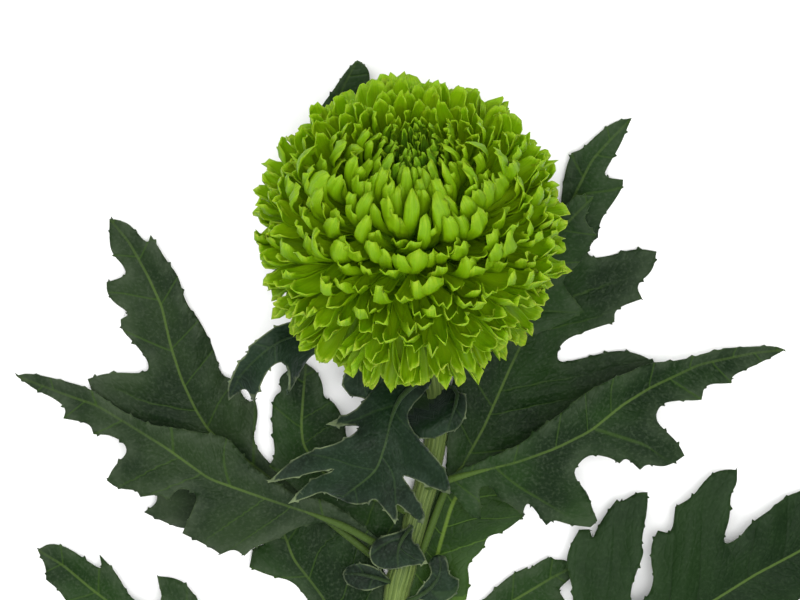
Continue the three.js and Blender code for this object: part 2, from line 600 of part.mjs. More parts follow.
const footprint = new THREE.Box3().setFromObject(flower).getCenter(new THREE.Vector3());
flower.children.forEach((mesh) => mesh.geometry.translate(-footprint.x, -footprint.y, 0));

export default flower;
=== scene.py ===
# Wasabi chrysanthemum, cut and laid on a table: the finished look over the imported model.
# Shapes are drawn in millimetres from the point of the stem's underside below the two large front
# leaves, and moved into the model's own frame, in metres, when a piece is finished.
import math
import random

import bmesh
import bpy
import numpy as np
from mathutils import Matrix, Vector, geometry, noise


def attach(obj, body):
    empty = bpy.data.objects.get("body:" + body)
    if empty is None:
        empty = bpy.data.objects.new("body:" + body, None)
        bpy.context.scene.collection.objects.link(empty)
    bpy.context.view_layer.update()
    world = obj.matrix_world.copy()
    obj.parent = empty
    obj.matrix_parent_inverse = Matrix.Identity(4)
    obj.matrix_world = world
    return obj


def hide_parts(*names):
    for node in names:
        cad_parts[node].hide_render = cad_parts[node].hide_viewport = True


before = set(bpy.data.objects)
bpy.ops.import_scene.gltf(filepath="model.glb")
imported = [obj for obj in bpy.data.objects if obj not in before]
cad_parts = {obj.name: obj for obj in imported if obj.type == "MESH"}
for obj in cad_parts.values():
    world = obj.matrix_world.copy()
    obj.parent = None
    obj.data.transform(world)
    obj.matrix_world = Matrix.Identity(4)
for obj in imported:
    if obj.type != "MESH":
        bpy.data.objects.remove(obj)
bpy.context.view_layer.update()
scene = bpy.context.scene
random.seed(11)

drawnFrom = Vector((12.5, 17.799, 0))  # the model's origin, measured from that point of the stem
toMetres = 0.001

# what lies between low and high is pressed into the room between floor and high
bladePress = {"low": -3, "high": 4, "floor": 0.5}
petalPress = {"low": -1.5, "high": 7, "floor": 0.3}


def smoothstep(value, low, high):
    share = min(max((value - low) / (high - low), 0), 1)
    return share * share * (3 - 2 * share)


def settle(height, press):
    # presses heights near the table so that nothing goes through it
    depth = min(press["high"] - height, press["high"] - press["low"])
    if depth <= 0:
        return height
    span = press["high"] - press["low"]
    return press["high"] - depth + depth ** 2 * (press["floor"] - press["low"]) / span ** 2


class Wire:
    # one socket of a material, with Python's own operators as Math nodes
    def __init__(self, finish, socket):
        self.finish, self.socket = finish, socket

    def maths(self, operation, *values):
        return self.finish.node("ShaderNodeMath", {"operation": operation}, dict(enumerate(values)))

    def __add__(self, other):
        return self.maths("ADD", self, other)

    def __sub__(self, other):
        return self.maths("SUBTRACT", self, other)

    def __rsub__(self, other):
        return self.maths("SUBTRACT", other, self)

    def __mul__(self, other):
        return self.maths("MULTIPLY", self, other)

    def __gt__(self, other):
        return self.maths("GREATER_THAN", self, other)

    __radd__ = __add__
    __rmul__ = __mul__

    def absolute(self):
        return self.maths("ABSOLUTE", self)

    def sine(self):
        return self.maths("SINE", self)

    def atMost(self, other):
        return self.maths("MINIMUM", self, other)

    def offWhole(self):
        # distance to the nearest whole number
        return (self - self.maths("ROUND", self)).absolute()

    def rise(self, low, high):
        # 0 up to low and 1 from high on, smooth between
        return self.finish.node(
            "ShaderNodeMapRange", {"interpolation_type": "SMOOTHSTEP"},
            {"Value": self, "From Min": low, "From Max": high})

    def parts(self):
        return [self.finish.node("ShaderNodeSeparateXYZ", {}, {"Vector": self}, k) for k in range(3)]


class Finish:
    # a material: its fixed surface values, and one way to add any node
    def __init__(self, name, values):
        self.material = bpy.data.materials.new(name)
        self.material.use_nodes = True
        self.tree = self.material.node_tree
        self.surface = self.tree.nodes["Principled BSDF"]
        for socket, value in values.items():
            self.surface.inputs[socket].default_value = value

    def node(self, kind, settings, sockets, output=0):
        made = self.tree.nodes.new(kind)
        for setting, value in settings.items():
            setattr(made, setting, value)
        for socket, value in sockets.items():
            if isinstance(value, Wire):
                self.tree.links.new(value.socket, made.inputs[socket])
            else:
                made.inputs[socket].default_value = value
        return Wire(self, made.outputs[output])

    def attribute(self, name):
        return self.node("ShaderNodeAttribute", {"attribute_name": name}, {}, "Vector").parts()

    def place(self):
        return self.node("ShaderNodeTexCoord", {}, {}, "Object")

    def point(self, x, y, z=0):
        return self.node("ShaderNodeCombineXYZ", {}, {0: x, 1: y, 2: z})

    def speckle(self, where, scale, detail=3):
        return self.node("ShaderNodeTexNoise", {}, {"Vector": where, "Scale": scale, "Detail": detail})

    def mix(self, share, first, second):
        # a colour is another mix or a picture's three values
        first, second = (colour(*c) if isinstance(c, tuple) else c for c in (first, second))
        return self.node("ShaderNodeMix", {"data_type": "RGBA"}, {0: share, 6: first, 7: second}, 2)

    def coated(self, skin, *coats):
        # lays colours over the first one, each by its share
        for share, over in coats:
            skin = self.mix(share, skin, over)
        return skin

    def feed(self, socket, wire):
        self.tree.links.new(wire.socket, self.surface.inputs[socket])

    def relief(self, height, strength, distance):
        bump = self.node(
            "ShaderNodeBump", {}, {"Height": height, "Strength": strength, "Distance": distance})
        self.feed("Normal", bump)


def colour(red, green, blue):
    # a picture's 0 to 255 values as linear light
    return tuple((v / 255) ** 2.2 for v in (red, green, blue)) + (1,)


def drape(bm, columns, rows, shape):
    # a flat grid, each of its points moved to where shape(across, along) puts it
    made = bmesh.ops.create_grid(bm, x_segments=columns, y_segments=rows, size=0.5)["verts"]
    for vert in made:
        vert.co = shape(vert.co.x + 0.5, vert.co.y + 0.5, vert)
    return made


def addLayers(bm, *names):
    # layers that carry a place on the piece to its material
    return [bm.verts.layers.float_vector.new(name) for name in names]


def thicken(bm, thickness, layer):
    # gives a sheet its second side and marks that side in the z of a layer
    made = bmesh.ops.extrude_face_region(bm, geom=bm.faces[:], use_keep_orig=True)["geom"]
    bm.normal_update()
    for vert in made:
        if isinstance(vert, bmesh.types.BMVert):
            vert.co -= vert.normal * thickness
            vert[layer].z = 1
    bmesh.ops.recalc_face_normals(bm, faces=bm.faces)


def finishPiece(bm, name, material, nodes):
    bmesh.ops.translate(bm, verts=bm.verts, vec=-drawnFrom)
    bmesh.ops.scale(bm, verts=bm.verts, vec=(toMetres,) * 3)
    for face in bm.faces:
        face.smooth = True
    mesh = bpy.data.meshes.new(name)
    bm.to_mesh(mesh)
    bm.free()
    mesh.materials.append(material)
    piece = bpy.data.objects.new(name, mesh)
    scene.collection.objects.link(piece)
    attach(piece, "root")
    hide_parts(*nodes)
    return piece


# Plan of each leaf: the rib is (x, y, z) from the stem to the tip, left and right are its two
# margins from base to tip, rise and bend say how each half climbs off the rib and hangs. Near the
# stem some blades reach further than in the model, where the leaves keep clear of each other.
leafPlans = {
    "leaf_left_front": {
        "rib": [(3.2, 14.5, 4), (-6, 19.5, 8.5), (-15, 25.5, 12), (-26, 30, 14), (-37, 34, 15),
            (-54, 40, 14.5), (-67, 49, 12), (-76, 54, 9), (-87, 60, 5.5), (-97, 63, 3.5), (-111, 68, 1.4)],
        "left": [(-28, 26), (-35, 22), (-41, 20), (-44, 17), (-47, 19), (-51, 17), (-56, 21), (-62, 24),
            (-59, 31), (-57, 36), (-63, 38), (-66, 34), (-68, 36), (-74, 35), (-75, 37), (-81, 37),
            (-84, 39), (-82, 43), (-77, 48), (-82, 52), (-88, 52), (-89, 55), (-97, 56), (-96, 59),
            (-100, 62), (-105, 64)],
        "right": [(-4, 19.5), (-8, 23.5), (-12, 27.5), (-17, 31.5), (-22, 34), (-29, 35), (-36, 40),
            (-42, 44), (-45, 48), (-49, 52), (-54, 53), (-65, 55), (-70, 55), (-76, 57), (-82, 60),
            (-89, 65), (-97, 67), (-107, 69)],
        "rise": (0.18, 0.1), "bend": (0.01, 0.02),
    },
    "leaf_left_back": {
        "rib": [(2, 9, 3.6), (-7, 14.5, 3.4), (-16, 22, 3), (-28, 31, 3.4), (-41, 41, 2.6),
            (-54.5, 51.5, 2.2), (-58.5, 58, 2), (-62.5, 67, 2.2), (-65.5, 77, 3), (-68, 89, 3.2),
            (-72, 98, 3), (-77.5, 108, 2.2), (-83, 114.5, 1.2)],
        "left": [(-30, 29), (-39, 31), (-49, 27), (-58, 22), (-63, 22), (-66, 23), (-74, 27), (-70, 30),
            (-70, 34), (-66, 41), (-72, 45), (-81, 55), (-87, 58), (-90, 67), (-84, 69), (-72, 69),
            (-72, 73), (-76, 78), (-80, 82), (-80, 85), (-77, 87), (-82, 90), (-84, 93), (-84, 96),
            (-78, 98), (-79, 101), (-82, 104), (-83, 107), (-83, 112)],
        "right": [(-6, 19), (-10.5, 22.5), (-15, 26), (-20.5, 30), (-28, 34), (-38, 43), (-42, 49),
            (-40, 56), (-41, 61), (-43, 60), (-47, 67), (-51, 68), (-53, 76), (-57, 85), (-61, 90),
            (-63, 98), (-66, 102), (-71, 110), (-72, 107), (-77, 113), (-80, 114)],
        "rise": (0.06, 0.15), "bend": (0.005, 0.012),
    },
    "leaf_back_left": {
        "rib": [(6.2, 26, 3.6), (-3, 31.5, 5), (-13, 34.5, 5.4), (-21.5, 40, 5.4), (-27, 48, 5),
            (-27.5, 54, 4.6), (-27, 61, 4.4), (-26.5, 67, 4), (-26, 72, 3)],
        "left": [(-1, 16.5), (-5, 17), (-9.5, 19.5), (-13.5, 23), (-18, 25.5), (-23, 29.5), (-28, 34),
            (-32, 38), (-37, 42), (-35, 45), (-36, 52), (-36, 60), (-35, 63), (-33, 64), (-34, 67),
            (-33, 69), (-30, 71)],
        "right": [(-13, 38), (-16, 43), (-14, 49), (-15, 56), (-18, 61), (-21, 62), (-21, 66), (-23, 70)],
        "rise": (0.05, 0.12), "bend": (0.006, 0.012),
    },
    "leaf_neck_left": {
        "rib": [(11.8, 72, 5.6), (4, 75, 10), (-3, 77, 12), (-11, 80, 13.6), (-20, 84, 17), (-28, 83.5, 21),
            (-32, 83, 24), (-37, 80, 25), (-41.5, 75.5, 22), (-45, 71, 18), (-48.5, 62, 9)],
        "left": [(-17, 80), (-22, 78), (-25, 76), (-27, 72), (-31, 66), (-30, 72), (-32, 77), (-36, 75),
            (-38, 71), (-41, 63), (-43, 68), (-46, 65)],
        "right": [(-21, 87), (-27, 88), (-33, 87), (-37, 85), (-42, 81), (-42, 79), (-45, 76), (-47, 71),
            (-48.5, 67)],
        "rise": (0.05, 0.05), "bend": (0.03, 0.035),
    },
    "leaf_neck_front": {
        "rib": [(12.2, 69, 5), (9, 69.5, 11), (5, 68, 16), (1, 65, 21), (-1.2, 60, 25), (-2.6, 53.5, 27),
            (-5.2, 45.5, 26), (-8.5, 42, 24.5), (-12.5, 38.5, 22), (-16, 35, 19)],
        "left": [(8.5, 65.5), (5, 62.5), (3, 60), (7, 53), (14, 45), (16, 39), (16, 36), (9, 40), (1, 45),
            (5, 39), (9, 31), (8, 28), (4, 32), (0, 36), (1, 32), (0, 29), (-1, 31), (-4, 35), (-6, 37),
            (-8, 35), (-12, 34)],
        "right": [(8, 74.5), (1, 73), (-5, 69), (-10, 63), (-12, 61), (-20, 57), (-16, 57), (-9, 58),
            (-14, 54), (-25, 50), (-31, 46), (-37, 40), (-28, 42), (-15, 46), (-25, 41), (-31, 34),
            (-25, 36), (-21, 38), (-18, 36)],
        "rise": (0.1, 0.1), "bend": (0.014, 0.018),
    },
    "leaf_neck_right": {
        "rib": [(12.4, 65, 4.2), (17, 66.5, 8), (18.5, 66.5, 13), (18, 64.5, 17.5), (17, 61.5, 19.5),
            (16, 58.5, 19.5), (15, 54.5, 17.5)],
        "left": [(20.5, 65), (21, 61), (19, 57), (17, 55)],
        "right": [(14, 65), (8, 64.5), (5, 63), (2, 61), (0.5, 58), (1, 55), (4.5, 53), (9, 52.8),
            (13, 53.5)],
        "rise": (0.1, 0.05), "bend": (0.02, 0.014),
    },
    "leaf_right_front": {
        "rib": [(8.4, 35, 3.6), (10.5, 36.5, 8.6), (15.5, 39, 10.6), (25, 42, 13), (35, 45, 15.5),
            (46.5, 49.5, 16.5), (56.5, 54.5, 16), (66, 62, 14), (74, 66.5, 11.5), (88.5, 72.5, 7),
            (104.5, 75.2, 3.5), (114, 75.8, 1.5)],
        "left": [(21, 43), (29, 47), (37, 51), (42, 56), (48, 60), (55, 66), (63, 70), (69, 72), (74, 74),
            (84, 74), (95, 77), (103, 77), (111, 77)],
        "right": [(18, 34), (21, 29), (25, 27), (25, 31), (24, 37), (28, 38), (30, 34), (34, 32), (37, 29),
            (38, 33), (40, 32), (44, 26), (46, 28), (51, 26), (57, 25), (59, 27), (57, 32), (56, 36),
            (52, 41), (52, 44), (56, 48), (62, 47), (65, 45), (67, 47), (71, 43), (73, 45), (77, 44),
            (81, 45), (84, 47), (82, 51), (79, 54), (75, 58), (77, 62), (82, 63), (89, 63), (90, 67),
            (98, 67), (98, 69), (103, 71), (108, 73)],
        "rise": (0.12, 0.16), "bend": (0.014, 0.009),
    },
    "leaf_right_back": {
        "rib": [(2.2, 10, 3.6), (7.6, 15, 5), (14, 33, 4.2), (20, 42, 4), (26, 53, 3.2), (34, 71.5, 2.4),
            (37.5, 79, 2.2), (43.5, 93.5, 2.2), (48.1, 108.5, 2.4), (50.5, 118.5, 2.6), (57, 132, 3),
            (62.5, 138, 2.4), (68.5, 144, 1.2)],
        "left": [(15, 44), (15.5, 54), (16, 62), (17, 68), (19, 74), (20, 76), (22, 79), (28, 75), (34, 79),
            (31, 88), (28, 95), (31, 100), (40, 94), (42, 102), (39, 110), (42, 114), (47, 110), (48, 119),
            (49, 128), (51, 134), (54, 135), (58, 139), (63, 143)],
        "right": [(22, 41), (28, 39), (37, 45), (46, 52), (60, 56), (73, 62), (80, 68), (75, 73), (68, 75.8),
            (62, 75.3), (55, 73.3), (47, 71.5), (48, 78), (57, 81.7), (64, 84), (64, 88), (72, 91), (70, 95),
            (75, 99), (76, 105), (70, 106), (61, 103), (57, 103), (55, 106), (59, 109), (59, 111), (60, 115),
            (63, 119), (66, 124), (66, 126), (60, 127), (62, 131), (65, 136), (67, 141)],
        "rise": (0.04, 0.06), "bend": (0.004, 0.004),
    },
    "leaf_low_left": {
        "rib": [(-1, -36, 3.6), (-8, -26, 3.6), (-15, -13, 3), (-21, 1, 2.6), (-25, 6.5, 2.6),
            (-30, 13, 2.6), (-33, 21.5, 2), (-35, 26, 1.2)],
        "left": [(-15, -18), (-22, -6), (-27, 3), (-31, 7), (-36, 8), (-43, 11), (-42, 16), (-36, 19),
            (-38, 24)],
        "right": [(-3, -20), (-2, -12), (-2, -4), (-2, 5), (-5, 14), (-10, 20), (-15, 23.5), (-21, 25.5),
            (-27, 27), (-32, 26)],
        "rise": (0.02, 0.05), "bend": (0.006, 0.01),
    },
    "leaf_low_right": {
        "rib": [(-0.6, -12, 3.6), (4.5, -6, 3.2), (7.3, -1, 3), (10.8, 8, 2), (13.5, 18.5, 1.4),
            (16.5, 29, 1.2), (21, 37.5, 1.2), (25, 44, 1.1)],
        "left": [(2.5, -4), (3.5, 3), (5, 10), (7, 18), (9, 26), (11.5, 33), (13, 37), (16, 42), (20, 45)],
        "right": [(13, -3), (21, 1), (22, 7), (21, 12), (26, 16), (27, 20), (32, 21), (38, 26), (34, 32),
            (29, 33), (31, 37), (30, 41)],
        "rise": (0.02, 0.02), "bend": (0.004, 0.004),
    },
    "leaf_low_right_small": {
        "rib": [(-1, -32, 3.6), (9, -20, 4), (19, -11, 3.6), (27, -4, 3.2), (39.5, 3.5, 3.2), (46, 7.5, 3),
            (53, 11, 2)],
        "left": [(18, -9), (22, -3), (26, 1), (31, 6), (35, 9), (39, 11), (39, 10), (43, 13), (46, 14),
            (47, 13), (50, 13)],
        "right": [(22, -11), (31, -9), (40, -6), (46, -3), (50, 1), (48, 4), (50, 6), (53, 8.5)],
        "rise": (0.06, 0.06), "bend": (0.01, 0.01),
    },
    "leaf_base_left": {
        "rib": [(-1.8, -63, 3.6), (-10, -56, 5), (-28, -42.5, 6), (-49, -26.5, 6.5), (-69.5, -10.5, 6.5),
            (-79.5, -3, 5.7), (-89.5, 4.5, 4.5), (-98, 11.4, 2.5), (-105.5, 15.6, 1.2)],
        "left": [(-28, -48), (-40, -51), (-51, -48), (-46, -40), (-51, -34), (-62, -36), (-73, -34),
            (-79, -29), (-73, -26), (-69, -19), (-75, -15), (-84, -14), (-91, -9), (-86, -7), (-87, -3),
            (-93, -2), (-97, 1), (-99, 4), (-103, 7), (-103, 11)],
        "right": [(-23, -40), (-28, -30), (-36, -26), (-46, -20), (-50, -10), (-56, -2), (-61, 6), (-65, 8),
            (-70, 9), (-68, 0), (-73, 0), (-78, 2), (-82, 10), (-87, 15), (-86, 10), (-92, 14), (-97, 17),
            (-102, 18)],
        "rise": (0.1, 0.1), "bend": (0.012, 0.012),
    },
    "leaf_base_right": {
        "rib": [(-2, -59, 3.6), (13, -51, 6), (31, -40, 8), (49, -24.5, 9.5), (72, -10.5, 10), (94, 2.5, 9),
            (106, 10, 8), (119, 16.5, 6), (129.5, 23, 3.5), (136, 28.5, 1.4)],
        "left": [(31, -35), (43, -22), (50, -9), (53, 3), (50, 13), (51, 18), (54, 23), (57, 23), (58, 20),
            (59, 23), (62, 28), (65, 32), (66, 31), (71, 34), (74, 34), (74, 30), (73, 25), (72, 19),
            (73, 17), (71, 12), (69, 6), (69, 1), (74, 3), (76, 9), (75, 13), (75, 19), (77, 23), (81, 22),
            (82, 30), (87, 33), (90, 37), (93, 40), (97, 41), (100, 41), (100, 37), (98, 34), (98, 27),
            (96, 21), (97, 19), (101, 21), (103, 24), (106, 27), (115, 33), (119, 34), (127, 37), (128, 32),
            (131, 34)],
        "right": [(35, -45), (44, -47), (58, -54), (68, -57), (70, -48), (67, -40), (75, -35), (88, -42),
            (99, -42), (103, -35), (97, -28), (95, -21), (103, -16), (114, -20), (123, -15), (121, -9),
            (115, -5), (117, 2), (125, 5), (134, 6), (136, 11), (131, 15), (134, 22)],
        "rise": (0.08, 0.08), "bend": (0.005, 0.008),
    },
    "leaf_top_back": {
        "rib": [(8.6, 82.5, 10.5), (3, 83, 8), (-3, 85, 6.5), (-10, 89, 4.6), (-18, 97, 2.4),
            (-22.5, 109, 1.2), (-23, 124, 1.2), (-20, 139, 1.6), (-15.5, 152, 3), (-11, 161, 5)],
        "left": [(-15, 91.6), (-23, 96), (-31, 102), (-33, 111), (-29, 115), (-32, 121), (-31, 129),
            (-27, 136), (-24, 143), (-21, 148), (-18, 152), (-16, 155), (-13.6, 158.4)],
        "right": [(-13, 97), (-18, 104), (-20, 113), (-18, 122), (-14, 133), (-16, 135), (-9, 143),
            (-8, 150), (-7, 157), (-9, 160)],
        "rise": (0.02, 0.02), "bend": (0.002, 0.002),
    },
    "leaf_back_right": {
        "rib": [(11, 76, 7), (16, 78, 8), (22, 82, 8.5), (32, 91, 8), (40, 101, 8.5), (47, 112, 10.5),
            (52, 117.3, 11.5), (57, 122.5, 12.5)],
        "left": [(26, 90), (27, 97), (32, 106), (36, 105), (38, 115), (44, 122), (48, 119), (52, 123)],
        "right": [(27, 81), (36, 80), (47, 84), (55, 88), (50, 94), (48, 98), (54, 103), (58, 111),
            (54, 116), (56, 120)],
        "rise": (0.05, 0.05), "bend": (0.008, 0.006),
    },
    "leaf_neck_small": {
        "rib": [(9.8, 79, 9), (5, 77, 14), (0, 76, 16.5), (-5, 75, 18), (-10.5, 73, 18), (-15.5, 68, 16)],
        "left": [(-2, 71), (-5, 65), (-8, 64), (-10, 65), (-13, 65)],
        "right": [(-5, 78), (-10, 77), (-13, 75), (-15, 71)],
        "rise": (0.05, 0.05), "bend": (0.01, 0.01),
    },
    "bract_front": {
        "rib": [(5.8, 24.5, 3.6), (5, 24.5, 9), (3, 23.5, 12.4), (0.8, 19.5, 14), (0.6, 16, 13.4),
            (1, 12.4, 11.2)],
        "left": [(4.4, 21.5), (8, 18), (9.5, 14.5), (5.5, 14), (3, 13.5)],
        "right": [(-1.6, 23), (-5, 22), (-7.4, 19), (-7.6, 16.4), (-6.5, 14), (-3, 12.6)],
        "rise": (0.1, 0.1), "bend": (0.02, 0.02),
    },
    "bract_left": {
        "rib": [(1.2, 5.5, 3.6), (-4, 8.5, 8), (-8, 10, 9.6), (-12, 10.6, 9.4), (-15.5, 9.8, 8)],
        "left": [(-5, 6), (-8, 5), (-12, 6), (-14.5, 7.5)],
        "right": [(-4.5, 11.6), (-8, 13.4), (-12, 13.6), (-15, 11.6)],
        "rise": (0.1, 0.1), "bend": (0.03, 0.03),
    },
    "bract_right": {
        "rib": [(0.8, 0, 3.6), (6, 2.5, 7.4), (10, 5.5, 9.2), (13, 9.5, 9.6), (13.6, 13.5, 9.4),
            (12.6, 16, 8.6)],
        "left": [(7, 5.5), (9.4, 8.5), (10.8, 11), (9.6, 13.5), (11, 15.6)],
        "right": [(10.5, 1.5), (15, 1.5), (18.6, 4.5), (18.8, 8.5), (15.6, 10.4), (15.6, 13.5),
            (14.6, 15.6)],
        "rise": (0.12, 0.12), "bend": (0.04, 0.04),
    },
}


# Leaves
leafLook = {
    "cell": 1.5, "thickness": 0.45, "lowest": 0.6, "smoothing": 4,
    # side veins: their slant against the rib, their spacing and the least share of it kept
    "slant": 0.7, "veinSpacing": 13, "veinApart": 0.55,
    # stalk and midrib: radii in a full-grown leaf, and the length from which a leaf is full-grown
    "petiole": 1.15, "wing": 1.0, "ribStart": 0.6, "ribEnd": 0.15, "sunk": 0.9, "ribReach": 0.97,
    "ribColumns": 8, "stalkEnd": (-2, 16), "sturdyLength": 75, "youngShare": 0.4,
    # relief: bulges between the veins, a sunk midrib and slow waves, by the distance from the rib
    "bulge": 0.9, "bulgeFrom": (1, 6), "groove": 0.5, "grooveWidth": 1.2, "flatRim": 3,
    "ruffle": 2.8, "ruffleFrom": (2, 12), "ruffleLength": 11, "ruffleWidth": 25,
    # margin: teeth that turn more than this many degrees stay sharp, and small points stand between
    "toothAngle": 50, "roundings": 3, "pointLength": 0.8, "firstGap": (3, 6), "pointGap": (4, 9),
    "pointLean": 0.5,
}


def leafFinish(name, look):
    made = Finish(name, {
        "Roughness": look["roughness"], "Sheen Weight": look["down"], "Sheen Roughness": 0.45,
        "Sheen Tint": colour(205, 225, 235), "Specular IOR Level": 0.09})
    across, foot, edge = made.attribute("leafMap")
    veinLeft, veinRight, under = made.attribute("leafVein")
    out = across.absolute()
    veins = veinRight + (veinLeft - veinRight) * (across > 0)
    nearVein = veins.offWhole() * leafLook["veinSpacing"]
    mottle = made.speckle(made.place(), 1100)
    patch = made.speckle(made.place(), 160)
    cloud = made.speckle(made.place(), 45, 2)
    net = made.node(
        "ShaderNodeTexVoronoi", {"feature": "DISTANCE_TO_EDGE", "voronoi_dimensions": "2D"},
        {"Vector": made.point(foot, across), "Scale": 0.4}, "Distance")
    ribLine = (1 - out.rise(0.2, look["ribWidth"])) * (0.3 + edge.rise(1, 9) * 0.7)
    veinLine = (1 - nearVein.rise(0.05, 0.45)) * (1 - out.rise(8, 24)) * look["veinShow"]
    netLine = (1 - net.rise(0, 0.1)) * look["netShow"]
    # painted sheen: a grey coat near the margins in patches, and more of it away from the rib
    paintedSheen = (1 - edge.rise(0, 5)) * patch.rise(0.3, 0.65) + (out.rise(10, 40) * 0.5)
    rim = (1 - edge.rise(0.05, 0.5)) * patch.rise(0.3, 0.6)
    blade = made.coated(
        made.mix(cloud.rise(0.35, 0.65), look["dark"], look["light"]),
        # painted sheen laid over the blade, then fine speckles of the same painted sheen
        (paintedSheen.atMost(1) * look["paintedSheenShow"], look["paintedSheen"]),
        (mottle.rise(0.45, 0.75) * look["speckShow"], look["paintedSheen"]),
        ((veinLine + netLine).atMost(1), look["vein"]),
        (ribLine * look["ribShow"], look["rib"]),
        (rim * look["rimShow"], look["rim"]))
    back = made.mix((netLine * 2 + veinLine + ribLine).atMost(1), look["back"], look["rib"])
    made.feed("Base Color", made.mix(under, blade, back))
    made.relief(mottle * 0.3 + net.rise(0, 0.25) * 0.5 + nearVein.rise(0, 1), 0.4, 0.0004)
    return made.material


# in each finish the grey sheen colour and its share are painted sheen
darkLook = {
    "roughness": 0.55, "down": 0.02, "ribWidth": 0.5, "ribShow": 0.7, "veinShow": 0.6,
    "netShow": 0.05, "speckShow": 0.4, "rimShow": 0.1, "paintedSheenShow": 0.5,
    "dark": (15, 32, 11), "light": (28, 48, 19), "vein": (46, 66, 24),
    "paintedSheen": (56, 68, 50), "rib": (70, 90, 40), "rim": (76, 98, 42),
    "back": (66, 80, 62),
}
darkLeaf = leafFinish("darkLeaf", darkLook)
# a lit copy of the dark leaf for the leaves on the left: greyer, with more painted sheen
sheenLitLeaf = leafFinish("sheenLitLeaf", {
    **darkLook, "speckShow": 0.3, "ribShow": 0.6, "paintedSheen": (62, 72, 56),
    "dark": (20, 34, 17), "light": (34, 48, 27)})
# a shaded copy of the dark leaf: darker, with less painted sheen, its side veins darker than the blade as
# painted shade in their sunken lines
shadedLeaf = leafFinish("shadedLeaf", {
    **darkLook, "speckShow": 0.3, "paintedSheenShow": 0.35, "paintedSheen": (44, 60, 38),
    "light": (23, 41, 16), "vein": (17, 32, 11)})
youngLeaf = leafFinish("youngLeaf", {
    "roughness": 0.5, "down": 0.03, "ribWidth": 0.8, "ribShow": 0.9, "veinShow": 0.6,
    "netShow": 0.06, "speckShow": 0.2, "rimShow": 0.1, "paintedSheenShow": 0.3,
    "dark": (26, 46, 14), "light": (38, 60, 20), "vein": (66, 92, 32),
    "paintedSheen": (54, 74, 44), "rib": (90, 114, 42), "rim": (90, 114, 42),
    "back": (76, 96, 54)})
bractLeaf = leafFinish("bractLeaf", {
    "roughness": 0.5, "down": 0.06, "ribWidth": 0.4, "ribShow": 0.5, "veinShow": 0.35,
    "netShow": 0.08, "speckShow": 0.35, "rimShow": 0.75, "paintedSheenShow": 0.35,
    "dark": (12, 24, 13), "light": (20, 36, 20), "vein": (44, 62, 34),
    "paintedSheen": (48, 62, 50), "rib": (58, 76, 42), "rim": (108, 120, 86),
    "back": (60, 74, 60)})


def ribCurve(points):
    # the rib resampled every half millimetre and rounded, with the length up to each sample and
    # up to the rib's third point, where the stalk ends
    points = np.array(points, float)
    lengths = np.concatenate([[0], np.cumsum(np.hypot(*np.diff(points[:, :2], axis=0).T))])
    steps = np.linspace(0, lengths[-1], int(lengths[-1] * 2) + 1)
    line = np.stack([np.interp(steps, lengths, points[:, k]) for k in range(3)], 1)
    reach = 8
    weights = np.exp(-(np.arange(-reach, reach + 1) / (reach / 2)) ** 2)
    before, after = 2 * line[0] - line[reach:0:-1], 2 * line[-1] - line[-2:-reach - 2:-1]
    padded = np.concatenate([before, line, after])
    rounded = [np.convolve(padded[:, k], weights / weights.sum(), "valid") for k in range(3)]
    return np.stack(rounded, 1), steps, lengths[2]


def measure(points, rib):
    # signed distance from the rib, left positive, and the foot of the slanting vein on the rib
    line, steps, base = rib
    slack = 0.3  # a point this far past the rib's nearest sample still counts as beside it
    way = np.gradient(line[:, :2], axis=0)
    way /= np.linalg.norm(way, axis=1)[:, None]
    offsets = points[:, None, :2] - line[None, :, :2]
    nearest = np.argmin((offsets ** 2).sum(2), 1)
    offset, ahead = offsets[np.arange(len(points)), nearest], way[nearest]
    along = (offset * ahead).sum(1)
    aside = ahead[:, 0] * offset[:, 1] - ahead[:, 1] * offset[:, 0]
    apart = np.hypot(aside, np.maximum(np.abs(along) - slack, 0))
    reached = steps[nearest] + np.clip(along, -slack, slack)
    foot = np.maximum(reached - leafLook["slant"] * apart, np.minimum(reached, base))
    return apart * np.sign(aside), foot


def softened(margin, side):
    # rounds a margin's bays and shoulders and keeps the points of its teeth
    points = [Vector(p) for p in margin]
    kept = [True] * len(points)
    for k in range(1, len(points) - 1):
        turn = (points[k] - points[k - 1]).angle_signed(points[k + 1] - points[k])
        kept[k] = turn * side > math.radians(leafLook["toothAngle"])
    for _ in range(leafLook["roundings"]):
        finer, keep = [points[0]], [True]
        for a, b, bKept in zip(points, points[1:], kept[1:]):
            finer += [a.lerp(b, 0.25), a.lerp(b, 0.75)]
            keep += [False, False]
            if bKept:
                finer.append(b)
                keep.append(True)
        points, kept = finer, keep
    return [tuple(p) for p in points]


def toothed(margin, side):
    # small points along the margin, a few millimetres apart
    points, travelled = list(margin), 0
    gap = random.uniform(*leafLook["firstGap"])
    for k in range(2, len(margin) - 2):
        ahead = Vector(margin[k + 1]) - Vector(margin[k - 1])
        travelled += ahead.length / 2
        if travelled > gap:
            ahead.normalize()
            outside = side * ahead.orthogonal() + ahead * leafLook["pointLean"]
            outside *= random.uniform(0.3, 1)
            points[k] = tuple(Vector(margin[k]) + outside * leafLook["pointLength"])
            travelled, gap = 0, random.uniform(*leafLook["pointGap"])
    return points


def veinFeet(apart, foot):
    # where the veins to the lobes leave the rib: one for each point of the margin that stands out,
    # then evenly spaced past the first and the last
    gap = leafLook["veinSpacing"]
    least = gap * leafLook["veinApart"]
    feet = []
    for k in np.argsort(foot):
        near = np.abs(foot - foot[k]) < least
        if apart[k] > 4 and apart[k] >= apart[near].max():
            if not feet or foot[k] - feet[-1] > least:
                feet.append(foot[k])
    feet = feet or [foot.mean()]
    before = np.arange(feet[0] - gap, -4 * gap, -gap)[::-1]
    return np.array([*before, *feet, *np.arange(feet[-1] + gap, feet[-1] + 9 * gap, gap)])


